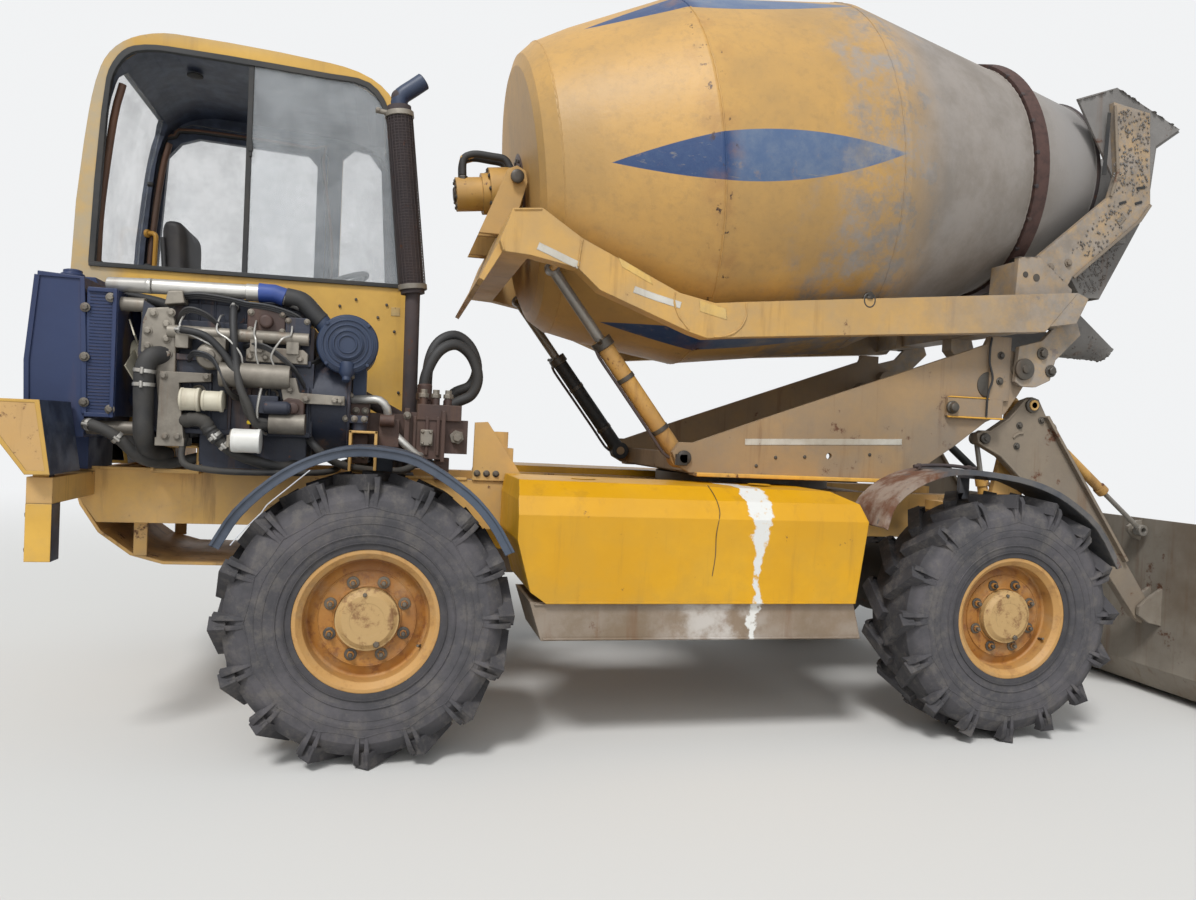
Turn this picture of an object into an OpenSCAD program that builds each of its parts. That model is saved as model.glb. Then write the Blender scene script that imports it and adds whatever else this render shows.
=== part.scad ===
// Self-loading concrete mixer truck: cab and open engine at the left, drum on a slewing and tilting frame.
// Millimetres, +Z up, +X towards the drum's mouth and the shovel, near side at -Y.
// Body places are given from the middle of the wheelbase, at heights for hubs 480 above the ground.

/* [Wheels] */
// Outside radius over the tyre's lugs
tyre_r = 520; // [480:5:560]
// Tyre's width over the sidewalls
tyre_w = 335; // [280:5:420]
// Height of the lugs over the tread
lug_h = 34; // [15:1:50]
// Lugs on one side of a tyre
lug_count = 16; // [12:1:24]
// Length of a lug along the tread's slant
lug_len = 190; // [120:5:240]
// Width of a lug at its top
lug_w = 52; // [30:2:90]
// Slant of the lugs from straight across, degrees
lug_slant = 38; // [20:1:50]
// Radius over the rim's flanges
rim_r = 252; // [220:1:320]
// Rim's width over its flanges
rim_w = 300; // [240:5:380]
// Radius of the hub's cover
hub_r = 110; // [80:1:140]
// Pitch radius of the wheel studs
stud_pcr = 137.5; // [110:0.5:170]
// Wheel studs on each rim
stud_count = 8; // [6:1:10]
// Radius of the spindles that carry the wheels
spindle_r = 60; // [40:1:80]
// Distance between the axles
wheelbase = 2596; // [2300:1:3000]
// Distance from the middle of the machine to the middle of a tyre
track_half = 908; // [800:1:1000]

/* [Chassis] */
// Distance from the middle to a rail's outer face
rail_y = 450; // [380:5:520]
// Width of a rail
rail_w = 90; // [60:5:120]
// Height of the rails' underside
rail_z = 742; // [680:2:800]
// Height of a rail
rail_h = 208; // [150:2:260]
// Left end of the rails
rail_x0 = -2440; // [-2600:5:-2300]
// Right end of the rails
rail_x1 = 1830; // [1600:5:1900]
// Thickness of folded plates
plate_t = 12; // [6:1:20]
// Left end of the machine
end_x0 = -2600; // [-2750:5:-2450]
// Right end of the machine, at the shovel's lip
end_x1 = 3200; // [2900:5:3500]

/* [Cab] */
// Near wall's outer face
cab_y0 = -10; // [-60:5:60]
// Far wall's outer face
cab_y1 = 1000; // [900:5:1050]
// Thickness of the cab's walls
cab_t = 40; // [25:1:60]
// Height of the cab's floor
cab_floor_z = 1150; // [1050:5:1300]

/* [Drum] */
// Radius of the drum's widest part
drum_r = 852; // [780:2:920]
// Tilt of the drum's axis as it stands, degrees
drum_tilt = 7.05; // [0:0.05:20]
// Drum's closed end along X
drum_x = -671; // [-760:1:-580]
// Drum's closed end above the ground
drum_z = 2300; // [2200:1:2400]
// Thickness of the drum's shell
shell_t = 9; // [5:1:14]
// Radius of the drum's mouth
mouth_r = 396; // [340:2:460]
// Radius of the track ring
ring_r = 596; // [560:1:640]
// Width of the track ring
ring_w = 70; // [50:2:100]

/* [Drum carrier] */
// Slewing axis along X
slew_x = 500; // [400:5:600]
// Hinge of the tilting frame along X
hinge_x = 1627; // [1580:1:1680]
// Hinge of the tilting frame above the ground
hinge_z = 1560; // [1500:1:1620]
// Radius of the frame hinge's pins
hinge_r = 30; // [20:1:40]
// Sub-frame plates' outer face from the middle
sub_y = 590; // [540:1:610]
// Thickness of the sub-frame's plates
sub_t = 25; // [15:1:35]
// Tilting beams' outer face from the middle
beam_y = 712; // [690:1:760]
// Width of the tilting beams
beam_w = 82; // [60:1:110]
// Tilt cylinders' middle plane
cyl_y = 521; // [500:1:530]
// Radius of a tilt cylinder's barrel
barrel_r = 38; // [32:1:55]
// Radius of a tilt cylinder's rod
rod_r = 23; // [15:1:30]

/* [Loader] */
// Arms' middle plane
arm_y = 520; // [500:1:560]
// Thickness of an arm
arm_t = 36; // [24:1:60]
// Arm pivot along X
arm_x = 1762; // [1740:1:1800]
// Arm pivot above the ground
arm_z = 1400; // [1380:1:1420]
// Shovel pivot along X
shovel_x = 2470; // [2400:5:2550]
// Shovel pivot above the ground
shovel_z = 400; // [340:5:480]
// Half of the shovel's width
shovel_y = 1000; // [900:5:1050]

/* [Fits] */
// Radial clearance of a pin in its bore
run_gap = 0.1; // [0.02:0.02:0.5]
// Clearance between pieces that turn past each other
side_gap = 3; // [1:0.5:8]

/* [Output] */
// Sub-part to draw

/* [Hidden] */
hub_z = 480;
lift = tyre_r - hub_z;
mid_x = -(end_x0 + end_x1) / 2;
axle_x = wheelbase / 2;
rail_top = rail_z + rail_h;
yellow = [0.86, 0.62, 0.16];
black = [0.07, 0.07, 0.08];
steel = [0.45, 0.43, 0.41];
grey = [0.55, 0.53, 0.5];
navy = [0.08, 0.1, 0.16];
rust = [0.35, 0.2, 0.14];

module place() translate([mid_x, 0, lift]) children();
module both() { children(); mirror([0, 1, 0]) children(); }
// Plate from an outline in X and Z, between two places along Y
module slab(pts, y0, y1) translate([0, y1, 0]) rotate([90, 0, 0]) linear_extrude(height = y1 - y0) polygon(pts);
// Plate from an outline in Y and Z, between two places along X
module across(pts, x0, x1) translate([x0, 0, 0]) rotate([90, 0, 90]) linear_extrude(height = x1 - x0) polygon(pts);
module box(x0, x1, y0, y1, z0, z1) translate([x0, y0, z0]) cube([x1 - x0, y1 - y0, z1 - z0]);
module ycyl(x, z, r, y0, y1) translate([x, y1, z]) rotate([90, 0, 0]) cylinder(r = r, h = y1 - y0, $fn = 32);
module xcyl(y, z, r, x0, x1) translate([x0, y, z]) rotate([0, 90, 0]) cylinder(r = r, h = x1 - x0, $fn = 32);
module rod(p, q, r) {
    v = q - p;
    len = norm(v);
    translate(p) rotate([0, acos(v[2] / len), atan2(v[1], v[0])]) cylinder(r = r, h = len, $fn = 24);
}
// Bent pipe through a list of points, with a ball at each bend
module pipe(pts, r) {
    for (i = [0 : len(pts) - 2]) rod(pts[i], pts[i + 1], r);
    for (i = [1 : len(pts) - 2]) translate(pts[i]) sphere(r = r * 1.04, $fn = 24);
}

// Chassis
tower_x0 = 1690;
lift_foot_x = 1625;
lift_foot_z = 687;
lift_y = 476;
bracket_y = -track_half + 228;
module chassis_frame() color(yellow) place() {
    both() {
        slab([[rail_x0 - 40, rail_top], [rail_x0 + 100, rail_z], [rail_x1, rail_z], [rail_x1, rail_top]],
            -rail_y, rail_w - rail_y);
        // tower that carries the arm pivot
        slab([[tower_x0 - 90, rail_z], [rail_x1, rail_z], [arm_x + 42, arm_z], [arm_x, arm_z + 40],
            [arm_x - 42, arm_z], [tower_x0, 1150]], -430, -400);
        ycyl(arm_x, arm_z, 25, -arm_y - 40, -410);
        // foot of the lift cylinder
        slab([[1560, rail_z], [1690, rail_z], [1660, lift_foot_z - 35], [1590, lift_foot_z - 35]], -442, -400);
        ycyl(lift_foot_x, lift_foot_z, 16, -lift_y - 26, -410);
        // tank and fender brackets
        for (x = [-600, 0, axle_x - 748]) box(x, x + 60, -480, -rail_y, 800, 900);
        box(-axle_x + 12, -axle_x + 64, bracket_y - 20, -rail_y, 880, 940);
        box(axle_x - 28, axle_x + 32, bracket_y, -rail_y, 880, 925);
    }
    // cross members: place along X, width, bottom, height
    for (c = [[-2128, 168, 760, 190], [-1456, 162, 760, 190], [-2330, 90, 760, 160], [-900, 100, 760, 150],
        [20, 120, 760, 190], [860, 120, 760, 190], [1720, 90, 760, 150]])
        box(c[0], c[0] + c[1], -rail_y + rail_w, rail_y - rail_w, c[2], c[2] + c[3]);
    // rear cross beam out to the posts
    box(-2430, -2350, -890, 890, 850, 940);
    // engine feet
    for (f = [[-2128, -1960, -535, -430, 1055], [-2128, -1960, -205, -100, 1055], [-1398, -1294, -650, -570, 1140],
        [-1398, -1294, -320, -240, 1140]]) difference() {
        box(f[0], f[1], f[2], f[3], rail_top - 4, f[4]);
        box(f[0] + 10, f[1] - 10, f[2] - 5, f[3] + 5, rail_top + 12, f[4] - 10);
    }
    box(-1398, -1294, -650, -rail_y + 20, rail_top - 4, rail_top + 12);
    // gusset and filler block behind the pumps
    slab([[-899, rail_top], [-897, 1195], [-842, 1200], [-670, rail_top]], -rail_y - 10, -rail_y + 2);
    box(-850, -722, -rail_y + 40, -rail_y + 130, rail_top - 2, 1090);
    box(-825, -745, -rail_y + 55, -rail_y + 115, 1085, 1160);
    // cab feet
    for (x = [-2325, -1300]) box(x, x + 70, 380, x < -2000 ? 900 : 10 - bracket_y, rail_top - 4,
        cab_floor_z - 40);
}

module belly_guard() color(yellow) place() {
    both() for (x = [-2228, -1770]) box(x, x + 50, -rail_y + rail_w, -rail_y + rail_w + 12, x < -2000 ? 600 : 565, 800);
    slab([[-2462, 915], [-2430, 800], [-2360, 690], [-2240, 600], [-2118, 565],
    [-1700, 560], [-1700, 572], [-2115, 577], [-2233, 611], [-2350, 698], [-2418, 805], [-2450, 915]], -355, 355);
}

module rear_bumper() color(yellow) place() {
    difference() {
        slab([[end_x0, 1200], [-2378, 1201], [-2340, 953], [-2416, 951]], -950, 950);
        slab([[end_x0 + 30, 1190], [-2392, 1190], [-2356, 965], [-2410, 965]], -960, 960);
        // room for the radiator, and for the cab's floor
        box(end_x0 - 10, -2300, -655, -45, 900, 1300);
        box(end_x0 - 10, -2300, -50, 960, 1107, 1300);
    }
    for (y = [0, 340]) box(-2420, -2360, y, y + 80, rail_top, 965);
    both() {
        box(-2429, -2349, -895, -815, 653, 850);
        box(-2415, -2365, -880, -830, 940, 962);
    }
}

// Engine bay
eng_y0 = -660;
eng_y1 = -230;
fan_bore_r = 20;
module engine_block() color(steel) place() {
    // sump, block, head and cover: first X, last X, first Y, last Y, bottom, top
    for (b = [[-1950, -1560, -590, -300, 985, 1110], [-2110, -1540, eng_y0 + 20, eng_y1 - 20, 1105, 1390],
        [-2090, -1545, eng_y0 + 50, eng_y1, 1385, 1530], [-2060, -1570, eng_y0 + 90, eng_y1 - 60, 1525, 1600]])
        box(b[0], b[1], b[2], b[3], b[4], b[5]);
    // timing case and bell housing
    slab([[-2150, 1100], [-2105, 1060], [-2105, 1560], [-2150, 1590], [-2165, 1400]], -640, -260);
    difference() {
        xcyl(-445, 1230, 205, -1545, -1400);
        ycyl(-1417, 1471, 108, -700, -320);
    }
    xcyl(-445, 1400, fan_bore_r, -2236, -2160);
    // cushions on the engine feet
    for (c = [[-2045, -500, 1055], [-2045, -160, 1055], [-1365, -610, 1140], [-1365, -280, 1140]])
        translate(c) cylinder(r = 30, h = 34, $fn = 24);
    box(-2095, -1995, -540, -120, 1085, 1120);
    for (y = [-650, -320]) box(-1420, -1332, y, y + 80, 1170, 1200);
}

module engine_fittings() color(grey) place() {
    // filter bodies along X: Y, Z, radius, first X, last X
    for (f = [[-705, 1230, 38, -2000, -1930], [-705, 1228, 34, -1925, -1850], [-735, 1086, 42, -1816, -1712]])
        xcyl(f[0], f[1], f[2], f[3], f[4]);
    box(-2010, -1900, -690, -640, 1200, 1260);
    box(-1930, -1850, -680, -640, 1200, 1260);
    box(-1830, -1760, -740, -600, 1060, 1105);
    // tall mounting arm at the front, and its foot
    slab([[-2075, 1330], [-1900, 1330], [-1900, 1300], [-2010, 1290], [-1985, 1062], [-2080, 1062]], -690, -655);
    box(-2085, -1985, -690, -560, 1055, 1085);
    // rear arm over the bell housing
    slab([[-1660, 1330], [-1600, 1330], [-1585, 1275], [-1420, 1270], [-1420, 1235], [-1640, 1235]], -700, -652);
    box(-1650, -1602, -660, -640, 1250, 1310);
    // injection pump, starter and manifold
    xcyl(-688, 1330, 46, -1870, -1620);
    xcyl(-690, 1155, 40, -1690, -1560);
    box(-1660, -1590, -690, -640, 1130, 1180);
    for (x = [-2030, -1900, -1770, -1640]) box(x, x + 45, -680, -610, 1420, 1490);
    xcyl(-660, 1480, 24, -2060, -1560);
    // water pump's hoses
    xcyl(-600, 1112, 26, -2337, -2152);
    xcyl(-600, 1575, 26, -2236, -2153.6);
}

module radiator_pack() color(navy) place() {
    slab([[-2503, 1665], [-2355, 1660], [-2337, 1160], [-2337, 1075], [-2469, 1069], [-2520, 1128], [-2533, 1346]],
        -640, -60);
    difference() {
        box(-2340, -2236, -640, -60, 1155, 1620);
        xcyl(-350, 1400, 215, -2300, -2200);
    }
    box(-2460, -2360, -500, -200, rail_top, 1075);
}

module cooling_fan() color([0.85, 0.83, 0.75]) place() translate([-2228, -445, 1400]) rotate([0, 90, 0]) {
    difference() {
        cylinder(r = 55, h = 30, $fn = 32);
        translate([0, 0, -5]) cylinder(r = fan_bore_r + run_gap, h = 40, $fn = 32);
    }
    for (a = [0 : 60 : 300]) rotate([0, 0, a]) translate([40, -38, 12]) rotate([22, 0, 0]) cube([135, 76, 5]);
}

module intake_pipe() color([0.7, 0.7, 0.7]) place() {
    pipe([[-2290, -560, 1648.2], [-2140, -600, 1648.2], [-1700, -600, 1655], [-1560, -600, 1608], [-1531, -600, 1571]], 28);
    xcyl(-600, 1652, 33, -1800, -1745);
}

module air_filter() color(black) place() {
    ycyl(-1417, 1471, 104, -680, -330);
    ycyl(-1417, 1471, 112, -660, -640);
    ycyl(-1417, 1471, 60, -690, -670);
    box(-1396, -1345, -560, -460, 1250, 1385);
    rod([-1531, -600, 1571], [-1487.5, -600, 1515.5], 34);
}

module exhaust_stack() color(rust) place() {
    rod([-1165, -215, 1150], [-1171, -215, 1760], 32);
    rod([-1171, -215, 1750], [-1262, -215, 2560], 52);
    rod([-1262, -215, 2550], [-1262, -215, 2600], 34);
    rod([-1262, -215, 2600], [-1160, -215, 2685], 34);
    translate([-1262, -215, 2600]) sphere(r = 36, $fn = 24);
    rod([-1165, -215, 1180], [-1370, -254, 1285], 30);
    box(-1190, -1150, -240, -200, 960, 1160);
    box(-1200, -1140, -400, -190, rail_top, 962);
}

module hydraulic_pumps() color([0.36, 0.24, 0.2]) place() {
    // bodies along the shaft: first X, last X, half width, half height
    for (p = [[-1400, -1330, 120, 120], [-1330, -1190, 85, 85], [-1190, -1170, 110, 110], [-1170, -1040, 80, 95],
        [-1040, -1025, 100, 105], [-1025, -930, 62, 70]])
        box(p[0], p[1], -445 - p[2], -445 + p[2], 1130 - p[3], 1130 + p[3]);
    box(-1140, -960, -530, -350, 1195, 1260);
    for (x = [-1115, -1065, -1015]) translate([x, -500, 1255]) cylinder(r = 16, h = 40, $fn = 20);
    box(-1288, -1210, -575, -520, 1080, 1190);
    xcyl(-590, 1185, 24, -1286, -1230);
    box(-1060, -1000, -480, -410, rail_top, 1040);
}

module hydraulic_hoses() color(black) place() {
    for (h = [[0, 0], [-62, -45]]) pipe([[-1096 + h[0] * 0.2, -322 + h[0], h[0] < 0 ? 1260 : 1215],
        [-1096 + h[0] * 0.2, -322 + h[0], 1420 + h[1]],
        [-1060, -310 + h[0], 1530 + h[1]], [-985, -290 + h[0], 1572 + h[1]], [-915, -270 + h[0], 1530 + h[1]],
        [-880, -260 + h[0], 1440 + h[1]], [-905, -250 + h[0], 1360 + h[1]], [-985, -240 + h[0], 1310 + h[1]],
        [-1010, -240 + h[0], 1180]], 23);
    box(-1130, -975, -345, -200, 1180, 1230);
}

// Arc-shaped band: outer points, centre it shrinks towards, thickness, first Y, last Y
module band(pts, c, t, y0, y1) slab(concat(pts, [for (i = [len(pts) - 1 : -1 : 0])
    pts[i] + (c - pts[i]) * t / norm(c - pts[i])]), y0, y1);
// Smooth path through a list of points, three steps to each
function bend(p) = concat([for (i = [0 : len(p) - 2]) let (b = p[i], c = p[i + 1], u = c - p[max(i - 1, 0)],
    v = p[min(i + 2, len(p) - 1)] - b) for (t = [0, 1 / 3, 2 / 3])
    (2 * pow(t, 3) - 3 * pow(t, 2) + 1) * b + (3 * pow(t, 2) - 2 * pow(t, 3)) * c
    + ((pow(t, 3) - 2 * pow(t, 2) + t) * u / norm(u) + (pow(t, 3) - pow(t, 2)) * v / norm(v)) * norm(c - b)],
    [p[len(p) - 1]]);
// Fender outlines: distance from the axle, height
rear_arc = [for (p = bend([[-522, 742], [-451, 861], [-335, 975], [-222, 1045], [-95, 1086], [33, 1088], [158, 1061],
    [337, 951], [438, 845], [507, 732]])) [p[0] - axle_x, p[1]]];
front_arc = [for (p = bend([[-622, 850], [-583, 955], [-447, 1051], [-288, 1090], [-53, 1076], [102, 1045], [236, 990],
    [398, 876], [520, 701]])) [p[0] + axle_x, p[1]]];

module rear_fenders() color(black) place() both() {
    band(rear_arc, [-axle_x, hub_z], 10, -track_half - 162, -track_half + 168);
    band(shrink(rear_arc, [-axle_x, hub_z], 4), [-axle_x, hub_z], 32, -track_half - 156, -track_half - 148);
    across([for (p = [[0, 880], [-35, 880], [-35, 1066], [-200, 1066], [-200, 1076], [0, 1076]]) [p[0] + bracket_y - 20, p[1]]],
        -axle_x + 8, -axle_x + 68);
}

tank_x0 = -axle_x + 523;
tank_x1 = axle_x - 655;
tank_side = [[tank_x0 + 12, 985], [tank_x0, 914], [tank_x0, 767], [tank_x0 + 56, 575], [tank_x0 + 114, 534],
    [tank_x1 - 34, 534], [tank_x1, 862], [tank_x1 - 25, 931], [tank_x1 - 125, 976]];
module tank(s) intersection() {
    slab(tank_side, s < 0 ? -1020 : 480, s < 0 ? -480 : 1020);
    across([[s * 480, 534], [s * 480, 985], [s * 900, 985], [s * 985, 930], [s * 1020, 862], [s * 1005, 534]],
        tank_x0 - 25, tank_x1 + 57);
}
module tank_near() color(yellow) place() tank(-1);
module tank_far() color(yellow) place() tank(1);
module tank_skirts() color(grey) place() both()
    slab([[tank_x0 + 59, 534], [tank_x0 + 107, 389], [tank_x1 + 5, 384], [tank_x1 - 34, 534]], -985, -600);

// Cab
cab_side = concat([[-2600, cab_floor_z - 40], [-2600, 1767]], bend([[-2588, 2065], [-2550, 2451], [-2510, 2647],
    [-2454, 2740], [-2358, 2800], [-2220, 2825], [-1573, 2789], [-1388, 2743], [-1282, 2643], [-1238, 2434]]),
    [[-1192, 2072], [-1150, 1790], [-1170, 1740], [-1170, cab_floor_z - 40]]);
cab_mid = [-1880, 2000];
near_open = concat([[-2532, 1806]], bend([[-2519, 2163], [-2486, 2600], [-2445, 2700], [-2385, 2750], [-2250, 2767],
    [-1560, 2740], [-1396, 2722], [-1310, 2618], [-1280, 2434]]), [[-1212, 1812]]);
door_x0 = -2560;
door_axis_x = -2572;
door_axis_y = 1014;
door_pin_r = 8;
door_hinge_z = [1400, 1980];
door_x1 = -1640;
door_out = [[door_x0, 1230], [door_x0, 2065], [-2515, 2600], [-2440, 2690], [-2340, 2730], [door_x1 - 60, 2700],
    [door_x1, 2640], [door_x1, 1230]];
door_light = concat([for (i = [1 : 6]) door_out[i]], [[door_x1, 1750], [door_x0, 1750]]);
function shrink(pts, c, t) = [for (p = pts) p + (c - p) * t / norm(c - p)];

module cab_shell() color(yellow) {
    cab_hinge_pins();
    cab_body();
}
module cab_body() place() difference() {
    slab(cab_side, cab_y0, cab_y1);
    slab(shrink(cab_side, cab_mid, cab_t * 1.2), cab_y0 + cab_t, cab_y1 - cab_t);
    slab(near_open, cab_y0 - 10, cab_y0 + cab_t + 5);
    slab(shrink(door_out, cab_mid, -6), cab_y1 - cab_t - 5, cab_y1 + 10);
    slab([[-1560, 1850], [-1560, 2640], [-1500, 2700], [-1420, 2690], [-1350, 2600], [-1300, 1850]],
        cab_y1 - cab_t - 5, cab_y1 + 10);
    // end windows
    across([[90, 1830], [90, 2640], [150, 2700], [840, 2700], [900, 2640], [900, 1830]], -2700, -2440);
    across([[90, 1830], [90, 2600], [150, 2660], [840, 2660], [900, 2600], [900, 1830]], -1330, -1100);
}
module cab_hinge_pins() color(yellow) place() for (z = door_hinge_z) {
    box(door_axis_x - 19, door_axis_x + 2, cab_y1, door_axis_y + 8, z - 24, z - 4);
    translate([door_axis_x, door_axis_y, z - 14]) cylinder(r = door_pin_r, h = 48, $fn = 24);
}

module cab_window_frame() color(black) place() {
    difference() {
        slab(shrink(near_open, cab_mid, 1), cab_y0 - 6, cab_y0 + 20);
        slab(shrink(near_open, cab_mid, 26), cab_y0 - 10, cab_y0 + 30);
    }
    box(-1915, -1893, cab_y0, cab_y0 + 18, 1810, 2752);
}

module cab_panes() color([0.75, 0.8, 0.82, 0.5]) place() {
    intersection() {
        slab(shrink(near_open, cab_mid, 26.3), cab_y0 + 4, cab_y0 + 10);
        box(-1892.7, -1100, cab_y0, cab_y0 + 20, 1700, 2900);
    }
    slab([[-1559.7, 1850.3], [-1559.7, 2639.8], [-1499.8, 2699.7], [-1420.2, 2689.7], [-1350.4, 2599.8], [-1300.4, 1850.3]],
        cab_y1 - 25, cab_y1 - 19);
    intersection() {
        slab([[-2580, 1830.3], [-2571, 2065], [-2533, 2451], [-2493, 2647], [-2465, 2699.7], [-2459, 2699.7],
            [-2487, 2647], [-2527, 2451], [-2565, 2065], [-2574, 1830.3]], 90.3, 899.7);
        across([[90.3, 1800], [90.3, 2639.8], [150.2, 2699.7], [839.8, 2699.7], [899.7, 2639.8], [899.7, 1800]], -2700, -2400);
    }
    intersection() {
        slab([[-1176, 1830.3], [-1212, 2072], [-1258, 2434], [-1301, 2659.7], [-1307, 2659.7], [-1264, 2434],
            [-1218, 2072], [-1182, 1830.3]], 90.3, 899.7);
        across([[90.3, 1800], [90.3, 2599.8], [150.2, 2659.7], [839.8, 2659.7], [899.7, 2599.8], [899.7, 1800]], -1400, -1100);
    }
}

module cab_door() color(yellow) place() {
    difference() {
        slab(door_out, cab_y1 - cab_t, cab_y1);
        slab(shrink(door_light, [-2080, 2200], 75),
            cab_y1 - cab_t - 5, cab_y1 + 5);
    }
    box(door_x1 - 150, door_x1 - 60, cab_y1 - 2, cab_y1 + 25, 1600, 1625);
    for (z = door_hinge_z) {
        box(-2556, -2530, cab_y1 - 5, cab_y1 + 5, z, z + 30);
        difference() {
            union() {
                box(door_axis_x, -2530, cab_y1 + 3, door_axis_y + 6, z, z + 30);
                translate([door_axis_x, door_axis_y, z]) cylinder(r = 11, h = 30, $fn = 32);
            }
            translate([door_axis_x, door_axis_y, z - 5]) cylinder(r = door_pin_r + run_gap, h = 50, $fn = 32);
        }
    }
}
module door_pane() color([0.75, 0.8, 0.82, 0.5]) place() slab(shrink(door_light, [-2080, 2200], 75), cab_y1 - 24, cab_y1 - 18);

module cab_seat() color(black) place() {
    box(-2200, -1850, 330, 670, cab_floor_z - 2.4, 1420);
    box(-2240, -1760, 260, 740, 1420, 1540);
    slab([[-2300, 1480], [-2180, 1480], [-2230, 2120], [-2330, 2120]], 270, 730);
}

module steering_column() color(black) place() {
    box(-1420, -1240, 180, 820, cab_floor_z - 2.4, 1700);
    rod([-1420, 500, 1560], [-1560, 500, 1850], 24);
    translate([-1560, 500, 1850]) rotate([0, -26, 0]) {
        rotate_extrude($fn = 48) translate([185, 0]) circle(r = 14, $fn = 12);
        for (a = [0, 120, 240]) rotate([0, 0, a]) translate([0, -10, -6]) cube([186, 20, 12]);
    }
}

// Drum carrier
module slew_base() color(steel) place() translate([slew_x, 0, rail_top]) {
    cylinder(r = 430, h = 52, $fn = 64);
    cylinder(r = 80, h = 90, $fn = 48);
}

sub_side = [[-60, 1105], [-35, 1050], [20, 1020], [1066, 1020], [1319, 1190], [1472, 1305], [1575, 1350], [1640, 1440],
    [1690, 1520], [1690, 1600], [1640, 1635], [1582, 1650], [1582, 1706], [1473, 1706], [1455, 1668], [338, 1263],
    [35, 1150], [-30, 1150]];
foot_x = -8;
foot_z = 1083;
module sub_frame() color(yellow) place() {
    difference() {
        union() {
            both() {
                slab(sub_side, -sub_y, sub_t - sub_y);
                box(40, 1066, -sub_y - 40, -sub_y + 60, 1008, 1022);
                box(1253, 1545, -sub_y - 22, -sub_y + 5, 1326, 1412);
                box(1473, 1580, -sub_y - 16, -sub_y + 5, 1408, 1708);
                ycyl(1275, 1365, 14, -sub_y - 40, -sub_y);
                ycyl(hinge_x, hinge_z, 58, -sub_y, -sub_y + 70);
            }
            box(90, 1010, -sub_y + 2, sub_y - 2, 1008, 1032);
            box(45, 110, -sub_y + 2, sub_y - 2, 1020, 1100);
            ycyl(1480, 1480, 62, -sub_y + 2, sub_y - 2);
        }
        translate([slew_x, 0, rail_top]) cylinder(r = 80 + run_gap, h = 200, $fn = 48);
        for (s = [-1, 1]) translate([679, s * sub_y, 1115]) rotate([90, 0, 0]) cylinder(r = 14, h = 120, center = true, $fn = 24);
    }
    both() {
        ycyl(hinge_x, hinge_z, hinge_r, -sub_y - 48, -sub_y + 2);
        ycyl(foot_x, foot_z, 22, -sub_y, -cyl_y + 38);
    }
}

// Tilting frame
beam_side = [[-806, 2049], [-686, 2061], [-522, 1957], [-97, 1769], [59, 1739], [192, 1754], [1839, 1923], [1673, 1730],
    [200, 1607], [30, 1590], [-37, 1607], [-438, 1754], [-533, 1835], [-730, 1870], [-838, 1876], [-852, 1918]];
hinge_side = [[1588, 1500], [1600, 1665], [1725, 1700], [1800, 1783], [1880, 1880], [1932, 1740], [1800, 1612],
    [1775, 1515], [1700, 1480], [1620, 1480]];
pin_x = -744;
pin_z = 2285;
module tilt_frame() color(yellow) place() {
    difference() {
        union() {
            both() {
                slab(beam_side, -beam_y, beam_w - beam_y);
                slab(hinge_side, -sub_y - 45, -sub_y - 20);
                slab([[1600, 1740], [1840, 1780], [1900, 1900], [1839, 1923], [1620, 1890]], -beam_y + 2, -roller_y - 20);
                // ears of the drum drive
                for (y = [-300, -235]) slab([[-900, 2030], [-760, 2030], [-695, 2270], [-705, 2320], [-744, 2340],
                    [-785, 2320], [-800, 2280]], y, y + 20);
                // roller box
                slab([[1600, 2088], [1714, 2099], [1900, 1960], [1900, 1890], [1590, 1890]], -600, -570);
                slab([[1600, 2070], [1640, 2070], [1660, 1900], [1590, 1890]], -600, -405);
                slab([[1714, 2099], [1900, 1960], [1900, 1930], [1700, 2080]], -600, -roller_y - roller_r - 8);
                for (s = [2318, 2458]) on_axis(s) translate([roller_x - 30, -roller_y - 42, 0]) cube([767 - roller_x, 84, 14]);
                // hopper arm
                slab([[1800, 1880], [1780, 2120], [2183, 2458], [2217, 2575], [2176, 2923], [2394, 2895], [2425, 2437],
                    [2364, 2351], [1987, 2040], [1900, 1880]], -hopper_y - 30, -hopper_y);
            }
            // head across the drum's closed end, and the tie under the track ring
            slab([[-806, 2049], [-720, 2055], [-730, 1870], [-838, 1876], [-852, 1918]], -beam_y + 2, beam_y - 2);
            slab([[-852, 1918], [-838, 1876], [-905, 1760], [-925, 1770]], -beam_y + 40, beam_y - 40);
            box(1640, 1780, -beam_y + 30, beam_y - 30, 1760, 1880);
            // arm that carries the chute's pin
            slab([[1650, 1770], [1770, 1770], [1800, 1680], [chute_x + 45, 1680], [chute_x + 45, 1625],
                [1720, 1625], [1650, 1700]], -40, 40);
            translate([chute_x, 0, 1670]) cylinder(r = chute_pin_r, h = 43, $fn = 40);
        }
        both() {
            on_axis(2300) translate([roller_x, -roller_y, 0]) cylinder(r = 18 + run_gap, h = 200, $fn = 24);
            ycyl(hinge_x, hinge_z, hinge_r + run_gap, -sub_y - 60, -sub_y);
            ycyl(pin_x, pin_z, 25 + run_gap, -320, -200);
        }
    }
    both() ycyl(eye[0], eye[1], 14, -beam_y + 60, -cyl_y - 28);
}

module on_axis(s) translate([drum_x, 0, drum_z]) rotate([0, 90 - drum_tilt, 0]) translate([0, 0, s]) children();
module drum_drive() color(yellow) place() {
    on_axis(-165) cylinder(r = 120, h = 142, $fn = 48);
    on_axis(-200) cylinder(r = 95, h = 40, $fn = 32);
    on_axis(-320) cylinder(r = 78, h = 125, $fn = 32);
    ycyl(pin_x, pin_z, 25, -320, 320);
    for (s = [-1, 1]) pipe([[-960, s * 30, 2320], [-965, s * 30, 2425], [-900, s * 32, 2450], [-770, s * 36, 2440],
        [-730, s * 40, 2380]], 13);
}

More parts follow.
